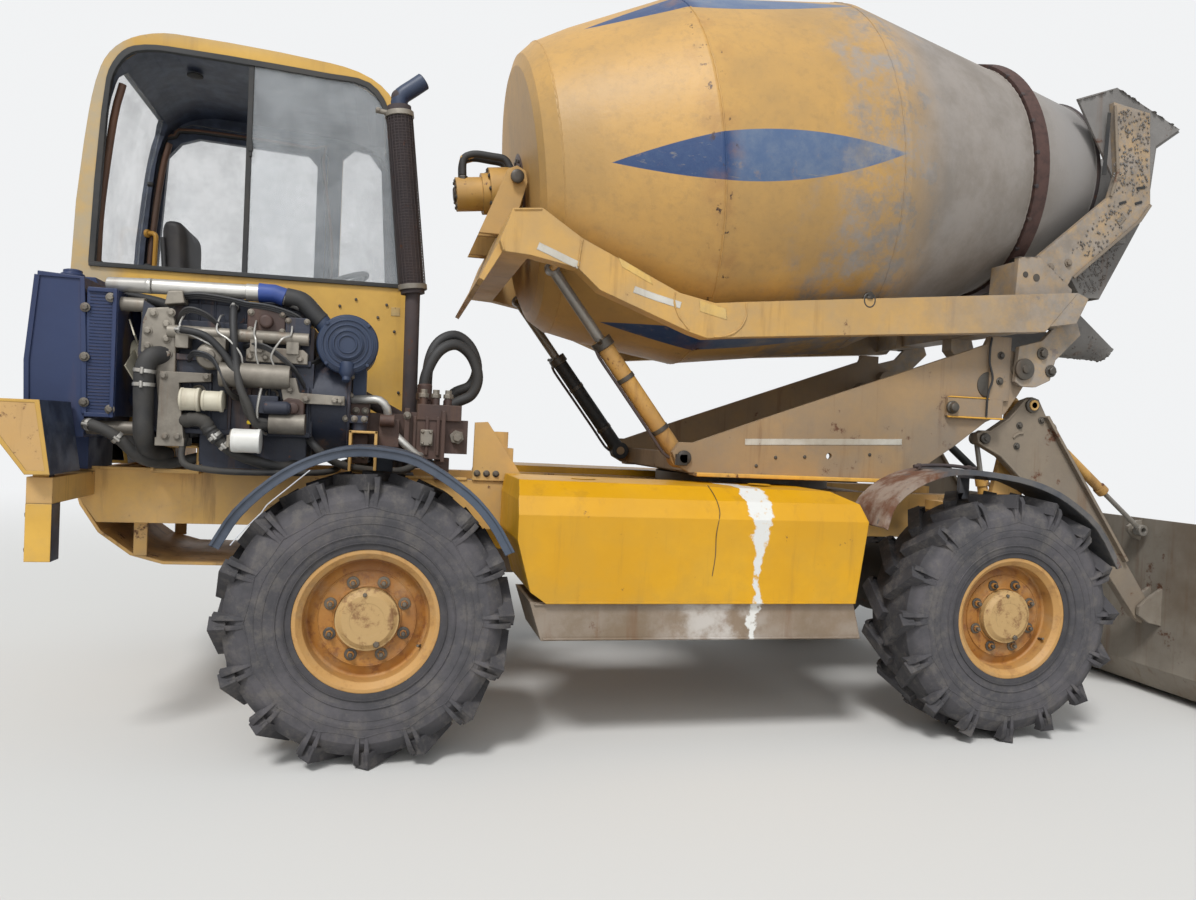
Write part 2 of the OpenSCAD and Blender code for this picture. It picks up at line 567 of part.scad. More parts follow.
roller_r = 55;
roller_y = (ring_r + roller_r + 2) * 0.61;
roller_x = (ring_r + roller_r + 2) * 0.7924;
// the hopper's arms stand outside the rollers
hopper_y = roller_y + roller_r + 12;
module drum_rollers() color(steel) place() both() on_axis(2355) translate([roller_x, -roller_y, 0]) {
    cylinder(r = roller_r, h = 80, $fn = 32);
    translate([0, 0, -45]) cylinder(r = 18, h = 170, $fn = 24);
}

// Drum outline: distance along the axis, radius
drum_line = [[-20, 560], [0, 612], [60, 660], [224, 720], [680, drum_r], [1533, drum_r], [2360, ring_r - 21],
    [2430, ring_r - 41], [2885, mouth_r]];
module drum() color(yellow) place() on_axis(0) {
    difference() {
        rotate_extrude($fn = 96) polygon(concat([[0, -20], [560, -20]], [for (p = [for (i = [1 : 8]) drum_line[i]]) [p[1], p[0]]],
            [for (i = [8 : -1 : 1]) [drum_line[i][1] - shell_t, drum_line[i][0]]], [[0, -20 + shell_t * 2]]));
    }
    rotate_extrude($fn = 96) polygon([[ring_r - 30, 2360], [ring_r, 2360], [ring_r, 2360 + ring_w], [ring_r - 46, 2360 + ring_w]]);
    rotate_extrude($fn = 96) polygon([[mouth_r - 4, 2865], [mouth_r + 12, 2865], [mouth_r + 12, 2890], [mouth_r - 4, 2890]]);
    translate([0, 0, -22]) cylinder(r = 170, h = 6, $fn = 48);
}

module feed_hopper() color(grey) place() {
    both() slab([[1992, 2927], [2218, 3011], [2610, 2850], [2470, 2750], [2440, 2500], [2300, 2440], [2225, 2560]],
        -hopper_y, -hopper_y + 12);
    slab([[2610, 2850], [2470, 2750], [2440, 2500], [2440, 2460], [2452, 2460], [2482, 2742], [2618, 2840]], -hopper_y + 10, hopper_y - 10);
}

module discharge_funnel() color(grey) place() {
    both() slab([[2060, 2140], [2467, 2430], [2467, 2377], [2245, 1975], [2160, 1970], [2060, 2110]], -380, -368);
    slab([[2467, 2430], [2479, 2425], [2479, 2375], [2255, 1970], [2243, 1975], [2467, 2377]], -380, 380);
    slab([[2060, 2110], [2050, 2104], [2150, 1965], [2160, 1970]], -380, 380);
    both() box(2230, 2320, -hopper_y, -375, 2245, 2300);
}

chute_x = 2130;
chute_pin_r = 22;
module chute() color(grey) place() difference() {
    union() {
        translate([chute_x + 70, 0, 1950]) rotate([0, 90 + 22, 0]) difference() {
            cylinder(r1 = 255, r2 = 70, h = 480, $fn = 48);
            translate([0, 0, -1]) cylinder(r1 = 243, r2 = 58, h = 482, $fn = 48);
            translate([-300, -300, -1]) cube([300, 600, 500]);
        }
        translate([chute_x, 0, 1680 + side_gap]) cylinder(r = 45, h = 40, $fn = 40);
    }
    translate([chute_x, 0, 1660]) cylinder(r = chute_pin_r + run_gap, h = 57, $fn = 40);
}

// Cylinder between two pins in the X, Z plane: hollow barrel and the rod that slides in it
function along(p, q, d) = p + (q - p) * d / norm(q - p);
module barrel(p, q, y, r, l, rr, foot_r, pin_r) difference() {
    union() {
        rod([p[0], y, p[1]], [along(p, q, l)[0], y, along(p, q, l)[1]], r);
        rod([along(p, q, l - 28)[0], y, along(p, q, l - 28)[1]], [along(p, q, l + 8)[0], y, along(p, q, l + 8)[1]], r + 6);
        ycyl(p[0], p[1], foot_r, y - r + 4, y + r - 4);
    }
    rod([along(p, q, foot_r + 8)[0], y, along(p, q, foot_r + 8)[1]], [along(p, q, l + 20)[0], y, along(p, q, l + 20)[1]],
        rr + run_gap);
    ycyl(p[0], p[1], pin_r + run_gap, y - r - 5, y + r + 5);
}
module ram(p, q, y, rr, from, eye_r, eye_w) difference() {
    union() {
        rod([along(p, q, from)[0], y, along(p, q, from)[1]], [q[0], y, q[1]], rr);
        ycyl(q[0], q[1], eye_r, y - eye_w / 2, y + eye_w / 2);
    }
    ycyl(q[0], q[1], eye_r * 0.5, y - eye_w, y + eye_w);
}
foot = [foot_x, foot_z];
eye = [-606, 1860];
module tilt_barrels() color(yellow) place() both() barrel(foot, eye, -cyl_y, barrel_r, 610, rod_r, 46, 22);
module tilt_rods() color(steel) place() both() ram(foot, eye, -cyl_y, rod_r, 300, 30, 44);

// Loader
lug = [1511, 1229];
lift_foot = [lift_foot_x, lift_foot_z];
tip_foot = [1900, 1285];
tip_eye = [2516, 800];
tip_y = 455;
module loader_arms() color(yellow) place() {
    difference() {
        union() {
            both() {
                slab([[1470, 1250], [1478, 1205], [1511, 1188], [1600, 1145], [2235, 600], [2420, 370], [2470, 340],
                    [2525, 400], [2500, 450], [2345, 660], [1850, 1345], [1800, 1430], [1762, 1440], [1720, 1424],
                    [1640, 1335], [1540, 1268], [1500, 1268]], -arm_y - arm_t / 2, -arm_y + arm_t / 2);
                slab([[1832, 1345], [2335, 650], [2347, 658], [1844, 1353]], -arm_y - 45, -arm_y + 40);
                ycyl(tip_foot[0], tip_foot[1], 40, -arm_y + arm_t / 2 - 5, -arm_y + arm_t / 2);
            }
            ycyl(2130, 880, 50, -arm_y, arm_y);
        }
        ycyl(arm_x, arm_z, 25 + run_gap, -arm_y - 60, arm_y + 60);
        ycyl(shovel_x, shovel_z, 22 + run_gap, -arm_y - 60, arm_y + 60);
    }
    both() {
        ycyl(lug[0], lug[1], 16, -arm_y, -498);
        ycyl(tip_foot[0], tip_foot[1], 16, -arm_y, -tip_y + 25);
    }
}
module lift_barrels() color(yellow) place() both() barrel(lift_foot, lug, -lift_y, 24, 350, 12, 30, 16);
module lift_rods() color(steel) place() both() ram(lift_foot, lug, -lift_y, 12, 205, 30, 30);

shovel_side = [[2560, 110], [2640, -10], [3200, -28], [3200, -14], [3010, 430], [2640, 860], [2560, 860]];
module shovel() color(grey) place() {
    difference() {
        slab(shovel_side, -shovel_y, shovel_y);
        slab([[2574, 114], [2647, 4], [3300, -15], [3300, 1000], [2574, 1000]], -shovel_y + 16, shovel_y - 16);
    }
    both() {
        for (y = [-arm_y - 43, -arm_y + 25]) difference() {
            slab([[2562, 330], [2490, 345], [2425, 385], [2425, 425], [2480, 470], [2562, 520]], y, y + 18);
            ycyl(shovel_x, shovel_z, 22, y - 1, y + 19);
        }
        ycyl(shovel_x, shovel_z, 22, -arm_y - 43, -arm_y + 43);
        slab([[2562, 740], [2516, 760], [2480, 790], [2480, 815], [2530, 845], [2562, 850]], -tip_y + 40, -tip_y + 58);
        ycyl(tip_eye[0], tip_eye[1], 14, -tip_y + 28, -tip_y + 45);
    }
}
module shovel_barrels() color(yellow) place() both() barrel(tip_foot, tip_eye, -tip_y, 24, 470, 12, 30, 16);
module shovel_rods() color(steel) place() both() ram(tip_foot, tip_eye, -tip_y, 12, 250, 28, 40);

// Axles and wheels
module rear_axle() color(steel) place() {
    ycyl(-axle_x, hub_z, 85, -track_half + 45, track_half - 45);
    both() {
        ycyl(-axle_x, hub_z, spindle_r, -track_half - 100, -track_half + 50);
        box(-axle_x - 70, -axle_x + 70, -rail_y, -rail_y + rail_w, hub_z + 60, rail_z);
    }
    translate([-axle_x, 0, hub_z]) sphere(r = 175, $fn = 40);
    rod([-axle_x, 0, hub_z], [-axle_x + 300, 0, hub_z + 30], 70);
}
module front_axle() color(steel) place() {
    ycyl(axle_x, hub_z, 85, -track_half + 110, track_half - 110);
    translate([axle_x, 0, hub_z]) sphere(r = 175, $fn = 40);
    rod([axle_x, 0, hub_z], [axle_x - 300, 0, hub_z + 30], 70);
    both() {
        box(axle_x - 70, axle_x + 70, -rail_y, -rail_y + rail_w, hub_z + 60, rail_z);
        // yoke round the knuckle
        box(axle_x - 48, axle_x + 48, -track_half + 72, -track_half + 112, hub_z - 134, hub_z + 134);
        for (z = [-134, 104]) difference() {
            translate([0, 0, hub_z + z]) union() {
                translate([axle_x, -track_half, 0]) cylinder(r = 48, h = 30, $fn = 40);
                box(axle_x - 48, axle_x + 48, -track_half, -track_half + 80, 0, 30);
            }
            translate([axle_x, -track_half, hub_z + z - 5]) cylinder(r = 20 + run_gap, h = 40, $fn = 40);
        }
    }
}
module knuckle() place() {
    translate([axle_x, -track_half, hub_z]) {
        translate([0, 0, -134]) cylinder(r = 20, h = 290, $fn = 40);
        translate([0, 0, -100]) cylinder(r = 48, h = 200, $fn = 40);
        translate([0, 0, 137]) cylinder(r = 36, h = 26, $fn = 40);
        translate([0, 30, 0]) rotate([90, 0, 0]) cylinder(r = 46, h = 60, $fn = 40);
        rotate([90, 0, 0]) cylinder(r = 46, h = 130, $fn = 40);
        translate([0, -56, 0]) rotate([90, 0, 0]) cylinder(r = spindle_r, h = 70, $fn = 40);
    }
}
module knuckle_near() color(steel) knuckle();
module knuckle_far() color(steel) mirror([0, 1, 0]) knuckle();
module front_fenders() color(black) place() both() {
    band(front_arc, [axle_x, hub_z], 10, -track_half - 164, -track_half + 102);
    band(front_arc, [axle_x, hub_z], 24, -track_half - 164, -track_half - 154);
    box(axle_x - 23, axle_x + 27, bracket_y - 20, bracket_y, 880, 1062);
    box(axle_x - 23, axle_x + 27, bracket_y - 220, bracket_y, 1044, 1062);
}

// Wheel parts turn about their own Z axis; +Z is the outer side
module wheel_at(x, s) place() translate([x, s * track_half, hub_z]) rotate([s * -90, 0, 0]) children();
half_w = rim_w / 2;
module rim() color(yellow) difference() {
    union() {
        rotate_extrude($fn = 64) polygon([[rim_r, -half_w], [rim_r, -half_w + 14], [rim_r - 22, -half_w + 22],
            [rim_r - 26, -half_w + 70], [rim_r - 44, -half_w + 90], [rim_r - 44, half_w - 90], [rim_r - 26, half_w - 70],
            [rim_r - 22, half_w - 22], [rim_r, half_w - 14], [rim_r, half_w], [rim_r - 14, half_w],
            [rim_r - 34, half_w - 20], [rim_r - 38, half_w - 70], [rim_r - 56, half_w - 90], [rim_r - 56, -half_w + 90],
            [rim_r - 38, -half_w + 70], [rim_r - 34, -half_w + 20], [rim_r - 14, -half_w]]);
        // disc with a dished rim, and the hub's cover
        rotate_extrude($fn = 64) polygon([[0, 76], [165, 76], [200, 60], [212, 60], [212, 74], [204, 74], [168, 90],
            [0, 90]]);
        translate([0, 0, 60]) cylinder(r = hub_r - 8, h = 20, $fn = 48);
        translate([0, 0, 88]) cylinder(r = hub_r, h = 30, $fn = 48);
        translate([0, 0, 117]) cylinder(r1 = hub_r - 4, r2 = hub_r - 22, h = 14, $fn = 48);
        for (a = [0 : 360 / stud_count : 359]) rotate([0, 0, a + 22.5]) translate([stud_pcr, 0, 85])
            cylinder(r = 13, h = 20, $fn = 6);
    }
    translate([0, 0, 50]) cylinder(r = spindle_r + run_gap, h = 80, $fn = 48);
}
tread_r = tyre_r - lug_h;
half_t = tyre_w / 2;
module tyre(side) color(black) union() {
    rotate_extrude($fn = 48) polygon([[rim_r - 21.7, -half_w + 24], [rim_r + 0.3, -half_w + 15],
        [rim_r + 0.3, -half_w - 2], [rim_r + 110, -half_t],
        [tread_r - 60, -half_t + 6], [tread_r - 8, -half_t + 40], [tread_r, 0], [tread_r - 8, half_t - 40],
        [tread_r - 60, half_t - 6], [rim_r + 110, half_t], [rim_r + 0.3, half_w + 2],
        [rim_r + 0.3, half_w - 15], [rim_r - 21.7, half_w - 24]]);
    for (m = [0, 1]) mirror([0, 0, m]) for (i = [0 : lug_count - 1]) rotate([0, 0, (i + m / 2) * 360 / lug_count])
        translate([tread_r - 26, 0, half_t - 12]) rotate([lug_slant * side, 0, 0]) rotate([0, 4, 0])
            translate([0, -lug_w / 2, -lug_len]) cube([lug_h + 21.8, lug_w, lug_len]);
}
module rim_rear_near() wheel_at(-axle_x, -1) rim();
module rim_rear_far() wheel_at(-axle_x, 1) rim();
module rim_front_near() wheel_at(axle_x, -1) rim();
module rim_front_far() wheel_at(axle_x, 1) rim();
module tyre_rear_near() wheel_at(-axle_x, -1) tyre(1);
module tyre_rear_far() wheel_at(-axle_x, 1) tyre(-1);
module tyre_front_near() wheel_at(axle_x, -1) tyre(1);
module tyre_front_far() wheel_at(axle_x, 1) tyre(-1);

chassis_frame();
belly_guard();
rear_bumper();
engine_block();
engine_fittings();
radiator_pack();
cooling_fan();
intake_pipe();
air_filter();
exhaust_stack();
hydraulic_pumps();
hydraulic_hoses();
rear_fenders();
tank_near();
tank_far();
tank_skirts();
cab_shell();
cab_window_frame();
cab_panes();
cab_door();
door_pane();
cab_seat();
steering_column();
slew_base();
sub_frame();
tilt_frame();
drum_drive();
drum_rollers();
drum();
feed_hopper();
discharge_funnel();
chute();
tilt_barrels();
tilt_rods();
loader_arms();
lift_barrels();
lift_rods();
shovel();
shovel_barrels();
shovel_rods();
rear_axle();
front_axle();
knuckle_near();
knuckle_far();
front_fenders();
rim_rear_near();
rim_rear_far();
rim_front_near();
rim_front_far();
tyre_rear_near();
tyre_rear_far();
tyre_front_near();
tyre_front_far();
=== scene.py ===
import math
import random
import bpy
import bmesh
from mathutils import Vector, Matrix


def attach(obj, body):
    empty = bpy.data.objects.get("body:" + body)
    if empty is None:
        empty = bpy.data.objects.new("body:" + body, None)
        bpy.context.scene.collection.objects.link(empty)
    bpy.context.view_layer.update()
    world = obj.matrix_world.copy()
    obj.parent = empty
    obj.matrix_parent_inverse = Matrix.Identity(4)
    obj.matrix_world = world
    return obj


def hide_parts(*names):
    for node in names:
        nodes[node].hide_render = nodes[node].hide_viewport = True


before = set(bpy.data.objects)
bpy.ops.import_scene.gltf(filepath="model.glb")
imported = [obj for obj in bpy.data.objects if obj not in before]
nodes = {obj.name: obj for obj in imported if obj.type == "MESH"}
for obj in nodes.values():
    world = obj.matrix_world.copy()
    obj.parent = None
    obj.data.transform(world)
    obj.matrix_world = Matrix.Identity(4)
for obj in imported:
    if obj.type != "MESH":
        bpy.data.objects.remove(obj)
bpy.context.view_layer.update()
random.seed(7)

# The drawing's numbers are millimetres from the middle of the wheelbase; these bring them into the frame
midX, liftZ = -0.300, 0.040


def at(x, y, z):
    return Vector((x / 1000 + midX, y / 1000, z / 1000 + liftZ))


def hexColour(text):
    parts = [int(text[i:i + 2], 16) / 255 for i in (1, 3, 5)]
    return tuple(c / 12.92 if c <= 0.04045 else ((c + 0.055) / 1.055) ** 2.4 for c in parts) + (1,)


def addNode(tree, kind, inputs=None, **options):
    node = tree.nodes.new("ShaderNode" + kind)
    for key, value in options.items():
        setattr(node, key, value)
    for key, value in (inputs or {}).items():
        socket = node.inputs[key]
        if isinstance(value, bpy.types.NodeSocket):
            tree.links.new(value, socket)
        else:
            socket.default_value = hexColour(value) if isinstance(value, str) else value
    return node


def calc(tree, operation, a, b=0.0, c=0.0):
    return addNode(tree, "Math", {0: a, 1: b, 2: c}, operation=operation).outputs[0]


print("stage: camera and light")
cameraView = {"place": (-1.545, -4.231, 1.211), "turn": 13.24, "pitch": -1.06, "roll": 2.55, "lens": 26.68}


def makeCamera(view):
    yaw, pitch, roll = (math.radians(view[k]) for k in ("turn", "pitch", "roll"))
    forward = Vector((math.sin(yaw) * math.cos(pitch), math.cos(yaw) * math.cos(pitch), math.sin(pitch)))
    side = Vector((math.cos(yaw), -math.sin(yaw), 0))
    up = side.cross(forward)
    right = side * math.cos(roll) + up * math.sin(roll)
    top = up * math.cos(roll) - side * math.sin(roll)
    data = bpy.data.cameras.new("photoCamera")
    data.sensor_fit = "HORIZONTAL"
    data.sensor_width = 36
    data.lens = view["lens"]
    data.clip_end = 200
    cam = bpy.data.objects.new("photoCamera", data)
    bpy.context.scene.collection.objects.link(cam)
    turn = Matrix((right, top, -forward)).transposed().to_4x4()
    cam.matrix_world = Matrix.Translation(Vector(view["place"])) @ turn
    bpy.context.scene.camera = cam


makeCamera(cameraView)
bpy.context.scene.view_settings.view_transform = "Standard"
backdrop = {"Color": (0.93, 0.94, 0.95, 1), "Strength": 0.95}
lighting = {"sky": 0.55, "skyColour": (0.92, 0.96, 1, 1), "key": 2.4, "keyTurn": (38, -8, -22),
            "keySoft": 14, "fill": 150, "fillSize": 6, "fillPlace": (-1.5, -8, 4.4), "fillTurn": (66, 0, 0)}


def showsBackdrop(tree):
    # 1 for rays that see the backdrop itself: straight, mirrored or through glass
    path = addNode(tree, "LightPath")
    indirect = calc(tree, "MAXIMUM", path.outputs["Is Glossy Ray"], path.outputs["Is Transmission Ray"])
    return calc(tree, "MAXIMUM", path.outputs["Is Camera Ray"], indirect)


def makeLight(settings):
    world = bpy.data.worlds.new("paleSky")
    bpy.context.scene.world = world
    world.use_nodes = True
    tree = world.node_tree
    tree.nodes.clear()
    sky = addNode(tree, "Background", {"Color": settings["skyColour"], "Strength": settings["sky"]})
    seen = addNode(tree, "Background", backdrop)
    mix = addNode(tree, "MixShader", {0: showsBackdrop(tree), 1: sky.outputs[0], 2: seen.outputs[0]})
    out = addNode(tree, "OutputWorld")
    tree.links.new(mix.outputs[0], out.inputs["Surface"])
    sun = bpy.data.lights.new("keySun", "SUN")
    sun.energy = settings["key"]
    sun.angle = math.radians(settings["keySoft"])
    lamp = bpy.data.objects.new("keySun", sun)
    lamp.rotation_euler = [math.radians(a) for a in settings["keyTurn"]]
    bpy.context.scene.collection.objects.link(lamp)
    area = bpy.data.lights.new("fillPanel", "AREA")
    area.energy = settings["fill"]
    area.size = settings["fillSize"]
    panel = bpy.data.objects.new("fillPanel", area)
    panel.location = settings["fillPlace"]
    panel.rotation_euler = [math.radians(a) for a in settings["fillTurn"]]
    panel.visible_camera = False
    bpy.context.scene.collection.objects.link(panel)


makeLight(lighting)

print("stage: finishes")


def place(tree):
    return addNode(tree, "TexCoord").outputs["Object"]


def stretched(tree, scale, turn=(0, 0, 0)):
    return addNode(tree, "Mapping", {"Vector": place(tree), "Scale": scale, "Rotation": turn}).outputs[0]


def grain(tree, scale, detail=6, rough=0.6, vector=None):
    inputs = {"Vector": vector or place(tree), "Scale": scale, "Detail": detail, "Roughness": rough}
    return addNode(tree, "TexNoise", inputs).outputs["Fac"]


def between(tree, value, low, high):
    return addNode(tree, "MapRange", {0: value, 1: low, 2: high},
                   interpolation_type="SMOOTHSTEP").outputs[0]


def patches(tree, low, high, *grained):
    # soft-edged patches: the grain between two levels
    return between(tree, grain(tree, *grained), low, high)


def times(tree, a, b):
    return calc(tree, "MULTIPLY", a, b)


def plus(tree, a, b):
    return calc(tree, "ADD", a, b)


def minus(tree, a, b):
    return calc(tree, "SUBTRACT", a, b)


def apart(tree, a, b):
    return calc(tree, "ABSOLUTE", minus(tree, a, b))


def coordinate(tree, axis):
    return addNode(tree, "SeparateXYZ", {0: place(tree)}).outputs[axis]


def blendColour(tree, factor, a, b):
    # a and b are sockets or colours as text
    return addNode(tree, "Mix", {0: factor, 6: a, 7: b}, data_type="RGBA").outputs[2]


relief = {"round": 0.005, "wornEdge": 0.006, "depth": 0.004, "samples": 4}
wearTone = {"dirt": "#8a7d6a", "streak": "#6b4a2c", "rust": "#5a3520", "chip": "#5e4a38"}


def edges(tree, width, low=0.02, high=0.3):
    # worn where two faces meet
    bevel = addNode(tree, "Bevel", {"Radius": width}, samples=relief["samples"]).outputs[0]
    normal = addNode(tree, "NewGeometry").outputs["Normal"]
    dot = addNode(tree, "VectorMath", {0: bevel, 1: normal}, operation="DOT_PRODUCT").outputs["Value"]
    return between(tree, minus(tree, 1.0, dot), low, high)


def height(tree, low, high):
    return between(tree, coordinate(tree, 2), low, high)


def finish(name, colour, roughness=0.5, bump=0.0, bumpSize=60, metal=0.0, extra=None):
    # extra(tree, colour, rough) gives the changed colour and roughness
    mat = bpy.data.materials.new(name)
    mat.use_nodes = True
    tree = mat.node_tree
    shader = tree.nodes["Principled BSDF"]
    rough = roughness
    if extra:
        colour, rough = extra(tree, colour, rough)
    for socket, value in (("Base Color", colour), ("Roughness", rough), ("Metallic", metal)):
        if isinstance(value, bpy.types.NodeSocket):
            tree.links.new(value, shader.inputs[socket])
        else:
            shader.inputs[socket].default_value = value
    if bump:
        rounded = addNode(tree, "Bevel", {"Radius": relief["round"]}, samples=relief["samples"]).outputs[0]
        grainNode = grain(tree, bumpSize, 8, 0.65)
        bumped = {"Height": grainNode, "Strength": bump, "Distance": relief["depth"], "Normal": rounded}
        node = addNode(tree, "Bump", bumped)
        tree.links.new(node.outputs[0], shader.inputs["Normal"])
    return mat


def worn(tone, shade, dirt=0.4, dirtColour=wearTone["dirt"], rust=0.3, rustSize=9, streaks=0.3, chips=0.5,
         low=0.45, high=1.6):
    # the wear that all painted plates share
    def build(tree, colour, rough):
        colour = blendColour(tree, patches(tree, 0.35, 0.68, 1.7, 5), tone, shade)
        fine = patches(tree, 0.42, 0.75, 22, 8, 0.7)
        colour = blendColour(tree, times(tree, fine, 0.35), colour, shade)
        lowDown = minus(tree, 1.0, height(tree, low, high))
        cloud = patches(tree, 0.38, 0.66, 4.5, 8, 0.65)
        dust = times(tree, calc(tree, "MULTIPLY_ADD", lowDown, 0.75, 0.25), cloud)
        colour = blendColour(tree, times(tree, dust, dirt), colour, dirtColour)
        if streaks:
            run = between(tree, grain(tree, 1.0, 7, 0.62, stretched(tree, (16, 16, 1.3))), 0.53, 0.72)
            colour = blendColour(tree, times(tree, run, streaks), colour, wearTone["streak"])
        if rust:
            rusty = patches(tree, 0.68 - 0.12 * rust, 0.74 - 0.1 * rust, rustSize, 10, 0.72)
            colour = blendColour(tree, rusty, colour, wearTone["rust"])
        if chips:
            edge = times(tree, edges(tree, relief["wornEdge"]), patches(tree, 0.42, 0.6, 30, 6))
            colour = blendColour(tree, times(tree, edge, chips), colour, wearTone["chip"])
        return colour, calc(tree, "MULTIPLY_ADD", dust, 0.3, rough)
    return build


def coated(name, roughness, bump, bumpSize, *tones, metal=0.0, **wear):
    # plain worn paint or metal: the tones are the coat, its shade, the dirt's strength and colour
    return finish(name, 0, roughness, bump, bumpSize, metal, worn(*tones, **wear))


def inwards(outside, centre, inside="#1f2738"):
    # faces that look at the cab's middle are dark bluish
    def build(tree, colour, rough):
        colour, rough = outside(tree, colour, rough)
        away = addNode(tree, "VectorMath", {0: place(tree), 1: centre}, operation="SUBTRACT").outputs[0]
        normal = addNode(tree, "NewGeometry").outputs["Normal"]
        dot = addNode(tree, "VectorMath", {0: away, 1: normal}, operation="DOT_PRODUCT").outputs["Value"]
        lining = blendColour(tree, patches(tree, 0.35, 0.7, 14), inside, "#3a4356")
        return blendColour(tree, between(tree, dot, 0.02, -0.02), colour, lining), rough
    return build


def greyed(outside, start, end, cement="#8d8781", most=0.9):
    # cement spreads over the paint from one place along X to the other
    def build(tree, colour, rough):
        colour, rough = outside(tree, colour, rough)
        x = coordinate(tree, 0)
        wobble = calc(tree, "MULTIPLY_ADD", grain(tree, 2.6, 8, 0.7), 1.2, -0.6)
        share = between(tree, plus(tree, x, wobble), at(start, 0, 0).x, at(end, 0, 0).x)
        speckle = calc(tree, "MULTIPLY_ADD", patches(tree, 0.32, 0.6, 15, 9, 0.75), 0.45, 0.55)
        greys = blendColour(tree, patches(tree, 0.35, 0.65, 7, 8, 0.7), cement, "#77726d")
        return blendColour(tree, times(tree, times(tree, share, speckle), most), colour, greys), rough
    return build


def blackened(outside, black="#1d1e20"):
    # the far side's twin comes out black
    def build(tree, colour, rough):
        colour, rough = outside(tree, colour, rough)
        return blendColour(tree, between(tree, coordinate(tree, 1), -0.01, 0.01), colour, black), rough
    return build


def hazedAndShaded(outside, hazeAndShade="#9c9687"):
    # sun and dust have greyed the roof's edge; dust and painted shade grey the rear posts
    def build(tree, colour, rough):
        colour, rough = outside(tree, colour, rough)
        posts = between(tree, coordinate(tree, 0), -2.66, -2.78)
        share = calc(tree, "MAXIMUM", height(tree, 2.80, 2.92), posts)
        share = times(tree, share, height(tree, 1.25, 1.5))
        patchy = calc(tree, "MULTIPLY_ADD", patches(tree, 0.3, 0.6, 6, 8, 0.7), 0.4, 0.35)
        return blendColour(tree, times(tree, share, patchy), colour, hazeAndShade), rough
    return build


cabMiddle = at(-1880, 495, 2000)
cabCoat = worn("#d2a545", "#bd923c", 0.3, "#9a8a6c", rust=0.15, streaks=0.15, chips=0.35, low=1.0, high=1.9)
cabYellow = finish("cabYellow", 0, 0.42, 0.05, 40, extra=inwards(hazedAndShaded(cabCoat), cabMiddle))
chassisYellow = coated("chassisYellow", 0.5, 0.12, 50, "#d0a45a", "#b9925a", 0.55, "#a1907a", rust=0.7,
                       streaks=0.5, low=0.6, high=1.1)
beamCoat = worn("#c69a50", "#ae8b55", 0.5, "#978a76", rust=0.5, streaks=0.3, chips=0.8, low=1.2, high=2.4)
beamYellow = finish("beamYellow", 0, 0.55, 0.12, 50, extra=greyed(beamCoat, 500, 1900))
carrierCoat = worn("#a0825a", "#8b7355", 0.6, "#83786a", rust=0.5, streaks=0.45, chips=0.8, low=1.0,
                   high=1.9)
carrierTan = finish("carrierTan", 0, 0.6, 0.15, 45, extra=greyed(carrierCoat, 700, 1700, "#8a7d70", 0.6))
motorYellow = coated("motorYellow", 0.4, 0.05, 60, "#c79a4c", "#a97f3c", 0.35, rust=0.55, rustSize=25,
                     streaks=0.4, low=2.2, high=2.5)
# black rear fenders: the blue in the tones and in the blue-grey dust is a painted sky sheen over real dust
fenderBlackSkySheen = coated("fenderBlackSkySheen", 0.42, 0.15, 30, "#2b3442", "#3f4a59", 0.4, "#6f7480", rust=0, streaks=0,
                     chips=0.2, low=0.7, high=1.4)


fenderCoat = worn("#2d3037", "#43464d", 0.6, "#7c766e", rust=0.35, rustSize=5, streaks=0.1, chips=0.3,
                  low=0.7, high=1.5)


def rustPatch(tree, colour, rough):
    # broken corner with old mud and rust over the near fender's end
    colour, rough = fenderCoat(tree, colour, rough)
    x = coordinate(tree, 0)
    edge = plus(tree, x, calc(tree, "MULTIPLY_ADD", grain(tree, 5, 8, 0.7), 0.5, -0.25))
    atEnd = between(tree, edge, at(1000, 0, 0).x, at(860, 0, 0).x)
    patch = times(tree, atEnd, patches(tree, 0.3, 0.42, 13, 8, 0.7))
    browns = blendColour(tree, patches(tree, 0.4, 0.62, 9, 8), "#8f7f72", "#664431")
    return blendColour(tree, patch, colour, browns), calc(tree, "MULTIPLY_ADD", patch, 0.3, rough)


mudFender = finish("mudFender", 0, 0.75, 0.35, 26, extra=rustPatch)
splash = {"x": at(178, 0, 0).x, "onSkirt": 0.045, "onTank": 0.04}


def splashMask(tree, widest):
    # spilt paint runs down the tank's near face at one place and widens upwards
    wobble = calc(tree, "MULTIPLY_ADD", grain(tree, 7, 6), 0.16, -0.08)
    line = apart(tree, plus(tree, coordinate(tree, 0), wobble), splash["x"])
    width = calc(tree, "MULTIPLY_ADD", height(tree, 0.70, 1.02), widest, 0.014)
    inside = between(tree, minus(tree, width, line), -0.004, 0.004)
    patchy = patches(tree, 0.3, 0.45, 30, 8)
    return times(tree, times(tree, inside, between(tree, coordinate(tree, 1), -0.5, -0.6)), patchy)


skirtCoat = worn("#857360", "#74634f", 0.5, "#a39a90", rust=0.6, rustSize=6, streaks=0.5, chips=0.9,
                 low=0.4, high=0.8)


def skirtPaint(tree, colour, rough):
    colour, rough = skirtCoat(tree, colour, rough)
    fromPatch = apart(tree, coordinate(tree, 0), at(20, 0, 0).x)
    pale = times(tree, between(tree, fromPatch, 0.26, 0.05), patches(tree, 0.36, 0.6, 9, 8))
    colour = blendColour(tree, times(tree, pale, 0.75), colour, "#c3beb8")
    return blendColour(tree, splashMask(tree, splash["onSkirt"]), colour, "#d5d4cf"), rough


